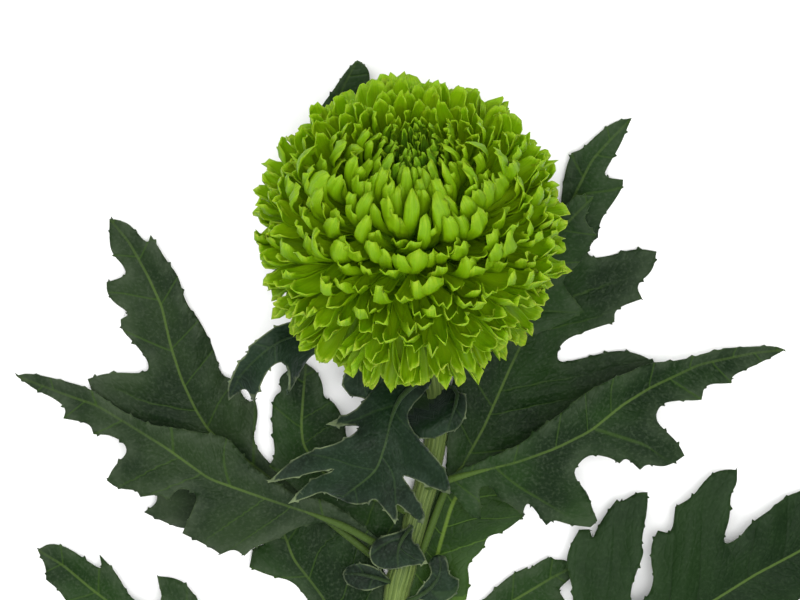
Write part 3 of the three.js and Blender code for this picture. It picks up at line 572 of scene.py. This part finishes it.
def leafHalf(side, edges, rib, stalkWide):
    # one margin from the stalk to the tip, and the feet of that half's veins
    line, steps, base = rib
    apart, foot = measure(np.array(edges, float), rib)
    stalk = []
    for k in range(0, len(steps), 6):
        if k == 0 or steps[k] < foot[0] - 2:
            ahead = Vector(line[min(k + 1, len(line) - 1)] - line[max(k - 1, 0)]).xy.normalized()
            stalk.append(Vector(line[k][:2]) + side * stalkWide * ahead.orthogonal())
    margin = toothed(softened([stalk[-1], *edges, tuple(line[-1][:2])], side), side)
    return [tuple(p) for p in stalk[:-1]] + margin, veinFeet(np.abs(apart), foot)


def fromOutline(flat, outline):
    # distance of each point from the leaf's margins
    corners = np.array([*outline, outline[0]])
    starts, spans = corners[:-1], np.diff(corners, axis=0)
    share = ((flat[:, None, :2] - starts) * spans).sum(2) / np.maximum((spans ** 2).sum(1), 1e-9)
    closest = starts + np.clip(share, 0, 1)[:, :, None] * spans
    return np.sqrt(((flat[:, None, :2] - closest) ** 2).sum(2).min(1))


def cutBlade(bm, outline):
    # the flat blade as one face, cut into a grid of cells
    bm.faces.new([bm.verts.new((x, y, 0)) for x, y in reversed(outline)])
    corners = np.array(outline)
    for axis in range(2):
        normal = [0, 0, 0]
        normal[axis] = 1
        start = corners[:, axis].min() + 0.7
        for at in np.arange(start, corners[:, axis].max(), leafLook["cell"]):
            cut = [0, 0, 0]
            cut[axis] = at
            bmesh.ops.bisect_plane(
                bm, geom=bm.verts[:] + bm.edges[:] + bm.faces[:], dist=0.02, plane_co=cut,
                plane_no=normal)
    bmesh.ops.remove_doubles(bm, verts=bm.verts, dist=0.05)


def shapeBlade(bm, layers, plan, rib, outline, veins, drift):
    # lifts the flat blade along its rib, then adds bulges, the sunk midrib and the ruffles
    line, steps, _ = rib
    verts = bm.verts[:]
    flat = np.array([v.co for v in verts])
    apart, foot = measure(flat, rib)
    isLeft = apart > 0
    rise, bend = np.where(isLeft, *plan["rise"]), np.where(isLeft, *plan["bend"])
    height = np.interp(foot, steps, line[:, 2]) + rise * np.abs(apart) - bend * apart ** 2
    for vert, z in zip(verts, height):
        vert.co.z = settle(z, bladePress)
    for _ in range(leafLook["smoothing"]):
        bmesh.ops.smooth_vert(bm, verts=verts, factor=0.5, use_axis_z=True)

    edge = fromOutline(flat, outline)
    counts = [np.interp(foot, feet, range(len(feet))) for feet in veins]
    for k, vert in enumerate(verts):
        out = abs(apart[k])
        count = counts[0][k] if isLeft[k] else counts[1][k]
        puff = math.sin(math.pi * count) ** 2 * smoothstep(out, *leafLook["bulgeFrom"])
        puff *= smoothstep(edge[k], 0, leafLook["flatRim"])
        swing = noise.noise(Vector((
            foot[k] / leafLook["ruffleLength"], drift, apart[k] / leafLook["ruffleWidth"])))
        sunk = leafLook["groove"] * math.exp(-(out / leafLook["grooveWidth"]) ** 2)
        vert.co.z += leafLook["bulge"] * puff - sunk
        vert.co.z += leafLook["ruffle"] * swing * smoothstep(out, *leafLook["ruffleFrom"])
        vert.co.z = max(vert.co.z, leafLook["lowest"])
        vert[layers[0]] = (apart[k], foot[k], edge[k])
        vert[layers[1]] = (counts[0][k], counts[1][k], 0)


def addRib(bm, layers, rib, sturdy):
    # the stalk and the midrib: one tube that thins out towards the tip
    line, steps, base = rib
    stalkEnd = [base + past for past in leafLook["stalkEnd"]]
    heights = [settle(z, bladePress) for z in line[:, 2]]

    def ribPoint(across, along, vert):
        k = min(int(along * (len(steps) - 1) * leafLook["ribReach"]), len(steps) - 2)
        ahead = Vector(line[k + 1] - line[k]).normalized()
        aside = Vector((-ahead.y, ahead.x, 0)).normalized()
        inBlade = smoothstep(steps[k], *stalkEnd)
        thin = leafLook["ribStart"] + (leafLook["ribEnd"] - leafLook["ribStart"]) * along
        wide = sturdy * float(leafLook["petiole"] + (thin - leafLook["petiole"]) * inBlade)
        down = wide * leafLook["sunk"] * inBlade + leafLook["groove"] * inBlade
        turn = 2 * math.pi * across
        middle = Vector((line[k][0], line[k][1], max(heights[k] - down, wide * leafLook["sunk"])))
        vert[layers[0]] = (0, steps[k], 10 * (1 - along))
        vert[layers[1]] = (0.5, 0.5, 0)
        return middle + wide * (math.cos(turn) * aside + math.sin(turn) * ahead.cross(aside))

    tube = drape(bm, leafLook["ribColumns"], max(len(steps) // 5, 6), ribPoint)
    bmesh.ops.remove_doubles(bm, verts=tube, dist=0.001)
    bmesh.ops.holes_fill(bm, edges=[e for e in bm.edges if e.is_boundary], sides=12)


def makeLeaf(name, plan, finish):
    rib = ribCurve(plan["rib"])
    young = leafLook["youngShare"]
    sturdy = young + (1 - young) * min(float(rib[1][-1]) / leafLook["sturdyLength"], 1)
    halves = [leafHalf(side, plan[hand], rib, leafLook["wing"] * sturdy)
              for side, hand in ((1, "left"), (-1, "right"))]
    outline = halves[0][0] + halves[1][0][-2::-1]
    drift = sum(map(ord, name)) % 97  # each leaf has waves of its own

    bm = bmesh.new()
    layers = addLayers(bm, "leafMap", "leafVein")
    cutBlade(bm, outline)
    shapeBlade(bm, layers, plan, rib, outline, [veins for _, veins in halves], drift)
    thicken(bm, leafLook["thickness"], layers[1])
    addRib(bm, layers, rib, sturdy)
    finishPiece(bm, name + "_fine", finish, [name])


# Stem
stemLook = {
    "radius": 3.8, "neckRadius": 3.1, "ribs": 15, "ribDepth": 0.035, "columns": 60, "rows": 150,
    "cutShare": 0.02,  # share of the rows on the cut face
    "resting": 0.966,  # height of its middle line over the table, as a share of its radius
    "swell": 0.1, "swellLength": 4,  # where a leaf stalk grows out
    "line": [
        (-5, -126, 0), (-3.4, -86, 0), (-1.8, -46, 0), (0, 0, 0), (2.6, 11, 0), (7, 28.5, 0),
        (11.2, 46, 0), (12.4, 57, 0), (12, 67, 1.2), (10, 76.5, 4.4), (7, 84.8, 9.2)],
    "neck": (37.3, 31.3),  # its last two points, measured back from the bloom's centre
    "between": 24,  # points on the curve from each point to the next
}
bloomPlace = {"centre": Vector((4.4, 116.7, 42.6)), "tilt": 45, "radius": 45}

bloomTilt = math.radians(bloomPlace["tilt"])
bloomAxis = Vector((0, math.cos(bloomTilt), math.sin(bloomTilt)))
bloomSide = Vector((1, 0, 0))
bloomTop = bloomAxis.cross(bloomSide)


def aroundBloom(azimuth):
    return bloomSide * math.cos(azimuth) + bloomTop * math.sin(azimuth)


def stemCurve():
    # a smooth line through the stem's points, with the length up to each of its own
    ends = [Vector(p) for p in stemLook["line"]]
    below = Vector((0, 0, stemLook["neckRadius"]))
    ends += [bloomPlace["centre"] - bloomAxis * far - below for far in stemLook["neck"]]
    ways = [(b - a).normalized() for a, b in zip([ends[0], *ends], [*ends[1:], ends[-1]])]
    line = []
    for k, (a, b) in enumerate(zip(ends, ends[1:])):
        third = (b - a).length / 3
        line += geometry.interpolate_bezier(
            a, a + ways[k] * third, b - ways[k + 1] * third, b, stemLook["between"])[:-1]
    line.append(ends[-1])
    lengths = [0]
    for a, b in zip(line, line[1:]):
        lengths.append(lengths[-1] + (b - a).length)
    return line, lengths


def stemFinish():
    made = Finish("stemSkin", {"Roughness": 0.5, "Sheen Weight": 0.04, "Specular IOR Level": 0.2})
    turn, length, cut = made.attribute("stemMap")
    ridge = (turn * (2 * math.pi * stemLook["ribs"])).sine() * 0.5 + 0.5
    fine = made.speckle(made.point(turn * 130, length * 0.12), 1, 4)
    cloud = made.speckle(made.place(), 30, 2)
    cells = made.speckle(made.place(), 900)
    skin = made.coated(
        made.mix(cloud.rise(0.35, 0.7), (48, 66, 26), (68, 86, 36)),
        (fine.rise(0.45, 0.65) * 0.7, (106, 122, 64)),
        (ridge * 0.35, (100, 116, 58)))
    pith = made.mix(cells.rise(0.3, 0.7), (196, 206, 160), (222, 226, 190))
    made.feed("Base Color", made.mix(cut, skin, pith))
    made.relief(fine + ridge * 0.3, 0.35, 0.0004)
    return made.material


def makeStem(scars):
    # each scar is where a leaf stalk grows out, and the way it heads
    line, lengths = stemCurve()
    whole = lengths[-1]
    cutShare = stemLook["cutShare"]
    bm = bmesh.new()
    layer, = addLayers(bm, "stemMap")

    def skinPoint(across, along, vert):
        cap = max(cutShare - along, 0) / cutShare
        reached = max(along - cutShare, 0) / (1 - cutShare) * whole
        k = min(max(np.searchsorted(lengths, reached) - 1, 0), len(line) - 2)
        ahead = (line[k + 1] - line[k]).normalized()
        middle = line[k] + ahead * (reached - lengths[k])
        share = reached / whole
        wide = stemLook["radius"] + (stemLook["neckRadius"] - stemLook["radius"]) * share
        middle.z = max(middle.z, 0) + wide * stemLook["resting"]
        aside = Vector((ahead.y, -ahead.x, 0)).normalized()
        turn = 2 * math.pi * across
        way = aside * math.cos(turn) + aside.cross(ahead) * math.sin(turn)
        wide *= 1 + stemLook["ribDepth"] * math.sin(stemLook["ribs"] * turn)
        for scar in scars:
            away = (middle - scar["at"]).length / stemLook["swellLength"]
            facing = max(way.dot(scar["way"]) + 0.4, 0)
            wide *= 1 + stemLook["swell"] * math.exp(-away ** 2) * facing
        vert[layer] = (across, reached, 1 if 0 < cap < 0.99 else 0)
        spot = middle + way * wide * (1 - cap)
        spot.z = max(spot.z, 0.02)
        return spot

    skin = drape(bm, stemLook["columns"], stemLook["rows"], skinPoint)
    bmesh.ops.remove_doubles(bm, verts=skin, dist=0.001)
    bmesh.ops.recalc_face_normals(bm, faces=bm.faces)
    finishPiece(bm, "stem_fine", stemFinish(), ["stem"])


# Bloom: one spiral of petals from the green heart to the back of the head. Angles are in degrees,
# and a zone's are measured from the apex.
petalLook = {
    "seed": 7, "columns": 6, "rows": 8, "lineRows": 24, "thickness": 0.2,
    # the spiral and the share of the head that a petal takes
    "firstAngle": 2, "frontAngle": 78, "lastAngle": 150, "heartWidth": 2.7, "fullWidth": 7.2,
    "fullZone": (4, 50), "wander": 0.9, "crowd": 0.24, "crowdAngle": 52, "crowdSpan": 24,
    # how deep the dimple is, and how far tips stand over the bloom's radius or fall short
    "dimpleDepth": 5, "dimpleAngle": 15, "over": 1.0, "ragged": 5,
    # zones: the tight heart, the far side's spoons, the cups below, the duller outside, the back
    "heartZone": (9, 20), "farZone": (8, 24), "cupZone": (50, 80), "outerZone": (45, 110),
    "rootZone": (90, 140),
    # the bend from root to tip
    "root": 20, "backRoot": 5, "hookAngles": (8, 20, 46, 66, 110), "hooks": (22, 62, 72, 64, 48),
    "hookSpread": (0.5, 1.45), "hookAlong": (0.5, 1.04), "farEase": 0.75, "lean": 10,
    "leanZone": (20, 45), "leanSpread": 6, "backLean": 30, "backLeanFrom": 60, "twist": 32,
    "curl": 25, "sway": 11,
    # the section across it
    "fill": 1.08, "widthSpread": (0.8, 1.12), "narrowing": (0.12, 0.42), "channel": 140,
    "heartChannel": 250, "channelSpread": (0.75, 1.2), "cupping": 0.5, "farOpen": 0.4,
    "closing": (0.5, 1.1), "keel": 0.5, "skew": 0.25, "pleat": 0.32, "pleats": 5.5,
    "cupPleat": 1.6, "pleatSpread": (0.5, 1.3),
    # the tip: uneven teeth, one deeper notch and a crumpled edge
    "tooth": 0.45, "fray": 0.14, "notch": 1.3, "crumple": 1.9,
}


def petalFinish():
    made = Finish("petalSkin", {
        "Roughness": 0.5, "Specular IOR Level": 0.14, "Subsurface Weight": 0.2,
        "Subsurface Radius": (0.6, 1.0, 0.2), "Subsurface Scale": 0.0015})
    along, across, chance = made.attribute("petalMap")
    outer, heart, shadedInside = made.attribute("petalPlace")
    streak = made.speckle(made.point(across * 5, along * 0.6, chance * 40), 3, 3)
    cloud = made.speckle(made.place(), 500)
    tip = along.rise(0.8, 1) * streak.rise(0.3, 0.7)
    rim = along.rise(0.9, 1) * outer * cloud.rise(0.4, 0.7)
    made.feed("Base Color", made.coated(
        # lighter towards the root: painted light that lifts the shade in the gaps between petals
        made.mix(along.rise(0.1, 0.65), (126, 170, 10), (105, 137, 7)),
        (outer.rise(0.35, 1) * 0.5, (90, 118, 8)),
        (chance * 0.3, (92, 138, 3)),
        # painted shade: the petal's second side is deeper green, as in the shade inside its cup
        (shadedInside * 0.4, (88, 130, 3)),
        # streaks: the petal's own striations, the darker ones also painted shade along its grooves
        ((1 - streak.rise(0.25, 0.5)) * 0.35, (66, 102, 3)),
        (streak.rise(0.5, 0.75) * 0.4, (118, 146, 14)),
        (cloud.rise(0.5, 0.8) * 0.2 * along, (128, 150, 30)),
        (tip * 0.45, (140, 160, 38)),
        (rim * 0.45, (160, 162, 70)),
        (heart * (1 - along.rise(0.75, 1) * 0.6) * 0.65, (56, 100, 28))))
    made.relief(streak + (across * 9).sine() * 0.3 + cloud * 0.4, 0.3, 0.0003)
    return made.material


def either(size):
    # by chance, up to a size either way
    return random.uniform(-size, size)


def drawn(spread):
    return random.uniform(*petalLook[spread])


def petalLine(lean, hook, length):
    # a petal's middle line in the plane of the bloom's axis: out from the core, then hooked to the
    # apex, with the way it heads and the stretch that brings it to its length
    rows = petalLook["lineRows"]
    spots, ways = [Vector((0, 0))], []
    for k in range(rows + 1):
        turn = math.radians(lean + hook * smoothstep((k + 0.5) / rows, *petalLook["hookAlong"]))
        ways.append(Vector((math.cos(turn), math.sin(turn))))
        spots.append(spots[-1] + ways[-1] / rows)
    return spots, ways, length / max(spot.x for spot in spots[:-1])


def makePetal(bm, layers, polar, azimuth, width, reach):
    degrees = math.degrees(polar)

    def within(zone):
        return smoothstep(degrees, *petalLook[zone])

    heart = 1 - within("heartZone")
    cupped = within("cupZone")
    far = max(math.sin(azimuth), 0) * within("farZone")
    outward = bloomAxis * math.cos(polar) + aroundBloom(azimuth) * math.sin(polar)
    toApex = (bloomAxis - outward * outward.dot(bloomAxis)).normalized()
    aside = outward.cross(toApex)

    chance = random.random()
    width *= drawn("widthSpread")
    hook = np.interp(degrees, petalLook["hookAngles"], petalLook["hooks"])
    hook *= drawn("hookSpread")
    hook *= 1 - petalLook["farEase"] * far
    lean = petalLook["lean"] * (1 - within("leanZone")) * (1 - heart)
    lean += either(petalLook["leanSpread"])
    lean -= petalLook["backLean"] * smoothstep(
        degrees, petalLook["backLeanFrom"], petalLook["lastAngle"])
    tilt = math.radians(either(1) * petalLook["twist"])
    curl = math.radians(either(petalLook["curl"]))
    sway = math.radians(either(petalLook["sway"]))
    channel = petalLook["channel"] + (petalLook["heartChannel"] - petalLook["channel"]) * heart
    channel *= 1 - petalLook["farOpen"] * far
    channel *= drawn("channelSpread") * (1 + petalLook["cupping"] * cupped)
    closing = drawn("closing")
    narrow = drawn("narrowing")
    keel = petalLook["keel"] * random.uniform(-0.3, 1)
    skew = either(petalLook["skew"])
    beat = random.uniform(0, 6.3)
    pleat = petalLook["pleat"] * (1 - heart) * (1 + petalLook["cupPleat"] * cupped)
    pleat *= drawn("pleatSpread")
    crumple = petalLook["crumple"] * (1 - 0.6 * far)
    teeth = [(either(1) * petalLook["tooth"] - petalLook["fray"] * (-1) ** k) * (1 - 0.6 * heart)
             for k in range(petalLook["columns"] + 1)]
    teeth[random.choice((2, 3, 3, 4))] -= petalLook["notch"] * random.random() * (1 - heart)

    root = petalLook["root"] + petalLook["backRoot"] * within("rootZone")
    spots, ways, stretch = petalLine(lean, hook, reach - root)
    rows = petalLook["lineRows"]
    anchor = spots[int(rows * 0.8)].y * stretch

    def petalPoint(across, along, vert):
        u = across * 2 - 1
        t = along ** 0.75 - 0.12 * u * u * along ** 5
        low = min(int(t * rows), rows - 1)
        spot = spots[low].lerp(spots[low + 1], t * rows - low) * stretch
        way = ways[low]
        if along == 1:
            spot = spot + way * teeth[round(across * petalLook["columns"])]
        # it widens from the root and draws in at the tip, and its channel deepens, then closes
        wide = width * (0.55 + 0.45 * smoothstep(t, 0, 0.68))
        wide *= 1 - narrow * smoothstep(t, 0.7, 1.02)
        bowl = math.radians(channel * (0.55 + 0.45 * smoothstep(t, 0, 0.6)))
        bowl *= 1 + (closing - 1) * smoothstep(t, 0.6, 1)
        bent = u + skew * (1 - u * u)
        radius = wide / bowl  # of the arc across the channel
        x = radius * math.sin(bent * bowl / 2)
        y = radius * (1 - math.cos(bent * bowl / 2))
        y -= keel * max(0, 1 - abs(bent) * 2.2) * (1 - heart)
        y += pleat * math.sin(bent * petalLook["pleats"] + beat) * along
        wave = noise.noise(Vector((bent * 1.9, t * 6, chance * 90)))
        y += crumple * wave * smoothstep(t, 0.5, 1)
        turn = tilt + curl * t * t
        x, y = x * math.cos(turn) - y * math.sin(turn), x * math.sin(turn) + y * math.cos(turn)
        vert[layers[0]] = (along, u, chance)
        vert[layers[1]] = (within("outerZone"), heart, 0)
        place = outward * (root + (spot.x - way.y * y)) + toApex * (spot.y - anchor + way.x * y)
        place = place + aside * (x + math.sin(sway) * (spot.x - (reach - root)))
        place = place + bloomPlace["centre"]
        place.z = settle(place.z, petalPress)
        return place

    drape(bm, petalLook["columns"], petalLook["rows"], petalPoint)


def makeBloom():
    skin = petalFinish()
    random.seed(petalLook["seed"])
    goldenAngle = math.pi * (3 - math.sqrt(5))
    radius, wander = bloomPlace["radius"], petalLook["wander"]
    polar, azimuth, count = math.radians(petalLook["firstAngle"]), 0, 0
    groups = []
    for name, until in (
            ("bloom_front", petalLook["frontAngle"]), ("bloom_back", petalLook["lastAngle"])):
        bm = bmesh.new()
        layers = addLayers(bm, "petalMap", "petalPlace")
        while polar < math.radians(until):
            degrees = math.degrees(polar)
            wide = petalLook["heartWidth"] + smoothstep(degrees, *petalLook["fullZone"]) * (
                petalLook["fullWidth"] - petalLook["heartWidth"])
            fromCrowd = (degrees - petalLook["crowdAngle"]) / petalLook["crowdSpan"]
            share = wide * (1 - petalLook["crowd"] * math.exp(-fromCrowd ** 2))
            turn = azimuth + wander * share * either(0.5) / (radius * math.sin(polar))
            slip = wander * share * either(0.5) / radius
            dimple = petalLook["dimpleDepth"] * math.exp(-(degrees / petalLook["dimpleAngle"]) ** 2)
            reach = radius - dimple + petalLook["over"] - petalLook["ragged"] * random.random()
            makePetal(bm, layers, polar + slip, turn, wide * petalLook["fill"], reach)
            polar += share ** 2 / (2 * math.pi * radius ** 2 * math.sin(polar))
            azimuth += goldenAngle
            count += 1
        thicken(bm, petalLook["thickness"], layers[1])
        groups.append(finishPiece(bm, name, skin, ["bloom"]))
    print("bloom:", count, "petals,", [len(g.data.polygons) for g in groups], "faces")


coreLook = {"radius": 24.5, "behind": 2, "cutBehind": 22.3}  # a ball behind the bloom's centre


def makeCore():
    # what shows between the petals' roots
    bm = bmesh.new()
    bmesh.ops.create_icosphere(
        bm, subdivisions=4, radius=coreLook["radius"],
        matrix=Matrix.Translation(bloomPlace["centre"] - bloomAxis * coreLook["behind"]))
    bmesh.ops.bisect_plane(
        bm, geom=bm.verts[:] + bm.edges[:] + bm.faces[:], clear_inner=True,
        plane_co=bloomPlace["centre"] - bloomAxis * coreLook["cutBehind"], plane_no=bloomAxis)
    bmesh.ops.holes_fill(bm, edges=[e for e in bm.edges if e.is_boundary])
    made = Finish("petalBases", {"Roughness": 0.8, "Specular IOR Level": 0.1})
    shade = made.speckle(made.place(), 300).rise(0.3, 0.7)
    made.feed("Base Color", made.mix(shade, (82, 124, 10), (100, 144, 14)))
    finishPiece(bm, "bloom_core", made.material, ["bloom"])


# Calyx: the cup under the bloom with its rows of small bracts. Its lines are (down, out) from the
# bloom's centre.
calyxLook = {
    "profile": [(31, 3.2), (28.6, 6.4), (26, 9), (23.8, 9.6), (22.6, 8.6)],
    "rows": [
        {"count": 11, "line": [(29.2, 4.2), (26.6, 9.9), (24.2, 12.4), (23.4, 13.6)], "wide": 5.0},
        {"count": 13, "line": [(27.6, 6.6), (25.2, 10.8), (23.4, 12.6), (22.8, 12.9)], "wide": 4.4},
        {"count": 15, "line": [(26.4, 8.2), (24.6, 10.4), (23.2, 11.6), (22.7, 11.9)], "wide": 3.6},
    ],
    "rowTurn": 0.37, "thickness": 0.4, "steps": 40,
}


def calyxFinish():
    made = Finish("calyxSkin", {"Roughness": 0.5, "Sheen Weight": 0.15})
    along, across, _ = made.attribute("bractMap")
    cloud = made.speckle(made.place(), 200)
    made.feed("Base Color", made.coated(
        made.mix(cloud.rise(0.35, 0.65), (84, 116, 56), (106, 138, 70)),
        (across.absolute().rise(0.55, 1) * 0.8, (176, 190, 140)),
        (along.rise(0.85, 1) * 0.6, (150, 140, 92))))
    made.relief(cloud, 0.3, 0.0003)
    return made.material


def calyxPoint(down, out, azimuth):
    return bloomPlace["centre"] - bloomAxis * down + aroundBloom(azimuth) * out


def addBract(bm, layer, look, turn):
    line = np.array(look["line"], float)

    def bractPoint(across, along, vert):
        u = across * 2 - 1
        t = along - 0.2 * u * u * along ** 3
        down, out = (np.interp(t, np.linspace(0, 1, len(line)), line[:, j]) for j in range(2))
        wide = look["wide"] * (0.75 + 0.25 * smoothstep(t, 0, 0.4))
        wide *= 1 - 0.8 * smoothstep(t, 0.6, 1.05)
        vert[layer] = (along, u, 0)
        return calyxPoint(down, out - 0.5 * u * u, turn + u * wide / 2 / out)

    drape(bm, 6, 8, bractPoint)


def makeCalyx():
    bm = bmesh.new()
    layer, = addLayers(bm, "bractMap")
    for row, look in enumerate(calyxLook["rows"]):
        for k in range(look["count"]):
            turn = 2 * math.pi * (k + row * calyxLook["rowTurn"]) / look["count"] + either(0.05)
            addBract(bm, layer, look, turn)
    thicken(bm, calyxLook["thickness"], layer)

    profile = calyxLook["profile"]
    closed = [(profile[0][0], 0), *profile, (profile[-1][0], 0)]
    cup = [bm.verts.new(calyxPoint(down, out, 0)) for down, out in closed]
    edges = [bm.edges.new(pair) for pair in zip(cup, cup[1:])]
    bmesh.ops.spin(
        bm, geom=cup + edges, cent=bloomPlace["centre"], axis=bloomAxis, angle=2 * math.pi,
        steps=calyxLook["steps"], use_merge=True)
    bmesh.ops.remove_doubles(bm, verts=bm.verts, dist=0.001)
    bmesh.ops.recalc_face_normals(bm, faces=bm.faces)
    finishPiece(bm, "calyx_fine", calyxFinish(), ["calyx"])


# All pieces: leaves are dark unless their name begins as here
leafKinds = {
    "bract": (bractLeaf, "bract"), "leaf_neck": (bractLeaf, "leaf"), "leaf_left": (sheenLitLeaf, "leaf"),
    "leaf_base_right": (shadedLeaf, "leaf"), "leaf_low_right": (youngLeaf, "young_leaf"),
    "leaf_low_right_small": (darkLeaf, "leaf"),
}
scars = []
for name, plan in leafPlans.items():
    finish, slot = darkLeaf, "leaf"
    for start, kind in leafKinds.items():
        if name.startswith(start):
            finish, slot = kind
    makeLeaf(name, plan, finish)
    foot, after = Vector(plan["rib"][0]), Vector(plan["rib"][2])
    scars.append({"at": foot, "way": (after - foot).normalized()})
print("leaves done")
makeStem(scars)
print("stem done")
makeBloom()
makeCore()
makeCalyx()
print("calyx done")

# Camera, light and table
cameraLook = {
    "tilt": 10, "away": 1100, "target": (1.4, 94.7, 25),
    "pixels": 3855, "across": 800, "sensor": 36,  # focal length and width of the photo in its pixels
}
lights = {
    "key": {"from": (-0.55, 0.75, 1.3), "size": 1.2, "watts": 11},
    "fill": {"from": (0.2, 0.2, 1.5), "size": 0.8, "watts": 15},
    "front": {"from": (0.1, -0.9, 0.9), "size": 1.0, "watts": 5},
}
studioLook = {"sky": 0.95, "table": 0.86, "tableSize": 3}

tilt = math.radians(cameraLook["tilt"])
right = Vector((1, 0, 0))
up = Vector((0, math.cos(tilt), -math.sin(tilt)))
back = right.cross(up)
camera = bpy.data.objects.new("camera", bpy.data.cameras.new("camera"))
camera.data.sensor_width = cameraLook["sensor"]
camera.data.lens = cameraLook["pixels"] / cameraLook["across"] * cameraLook["sensor"]
camera.matrix_world = Matrix((right, up, back)).transposed().to_4x4()
camera.location = ((Vector(cameraLook["target"]) + back * cameraLook["away"]) - drawnFrom) * toMetres
scene.collection.objects.link(camera)
scene.camera = camera

for name, look in lights.items():
    lamp = bpy.data.objects.new(name, bpy.data.lights.new(name, "AREA"))
    lamp.data.shape, lamp.data.size, lamp.data.energy = "DISK", look["size"], look["watts"]
    lamp.location = look["from"]
    lamp.rotation_euler = (-Vector(look["from"])).to_track_quat("-Z", "Y").to_euler()
    scene.collection.objects.link(lamp)

sky = bpy.data.worlds.new("studio")
sky.use_nodes = True
sky.node_tree.nodes["Background"].inputs["Color"].default_value = (1, 1, 1, 1)
sky.node_tree.nodes["Background"].inputs["Strength"].default_value = studioLook["sky"]
scene.world = sky

table = bmesh.new()
bmesh.ops.create_grid(table, x_segments=1, y_segments=1, size=studioLook["tableSize"])
tableMesh = bpy.data.meshes.new("table")
table.to_mesh(tableMesh)
table.free()
tableTop = Finish("tableTop", {"Base Color": (*[studioLook["table"]] * 3, 1), "Roughness": 0.9})
tableMesh.materials.append(tableTop.material)
floor = bpy.data.objects.new("table", tableMesh)
scene.collection.objects.link(floor)
scene.view_settings.view_transform = "Standard"
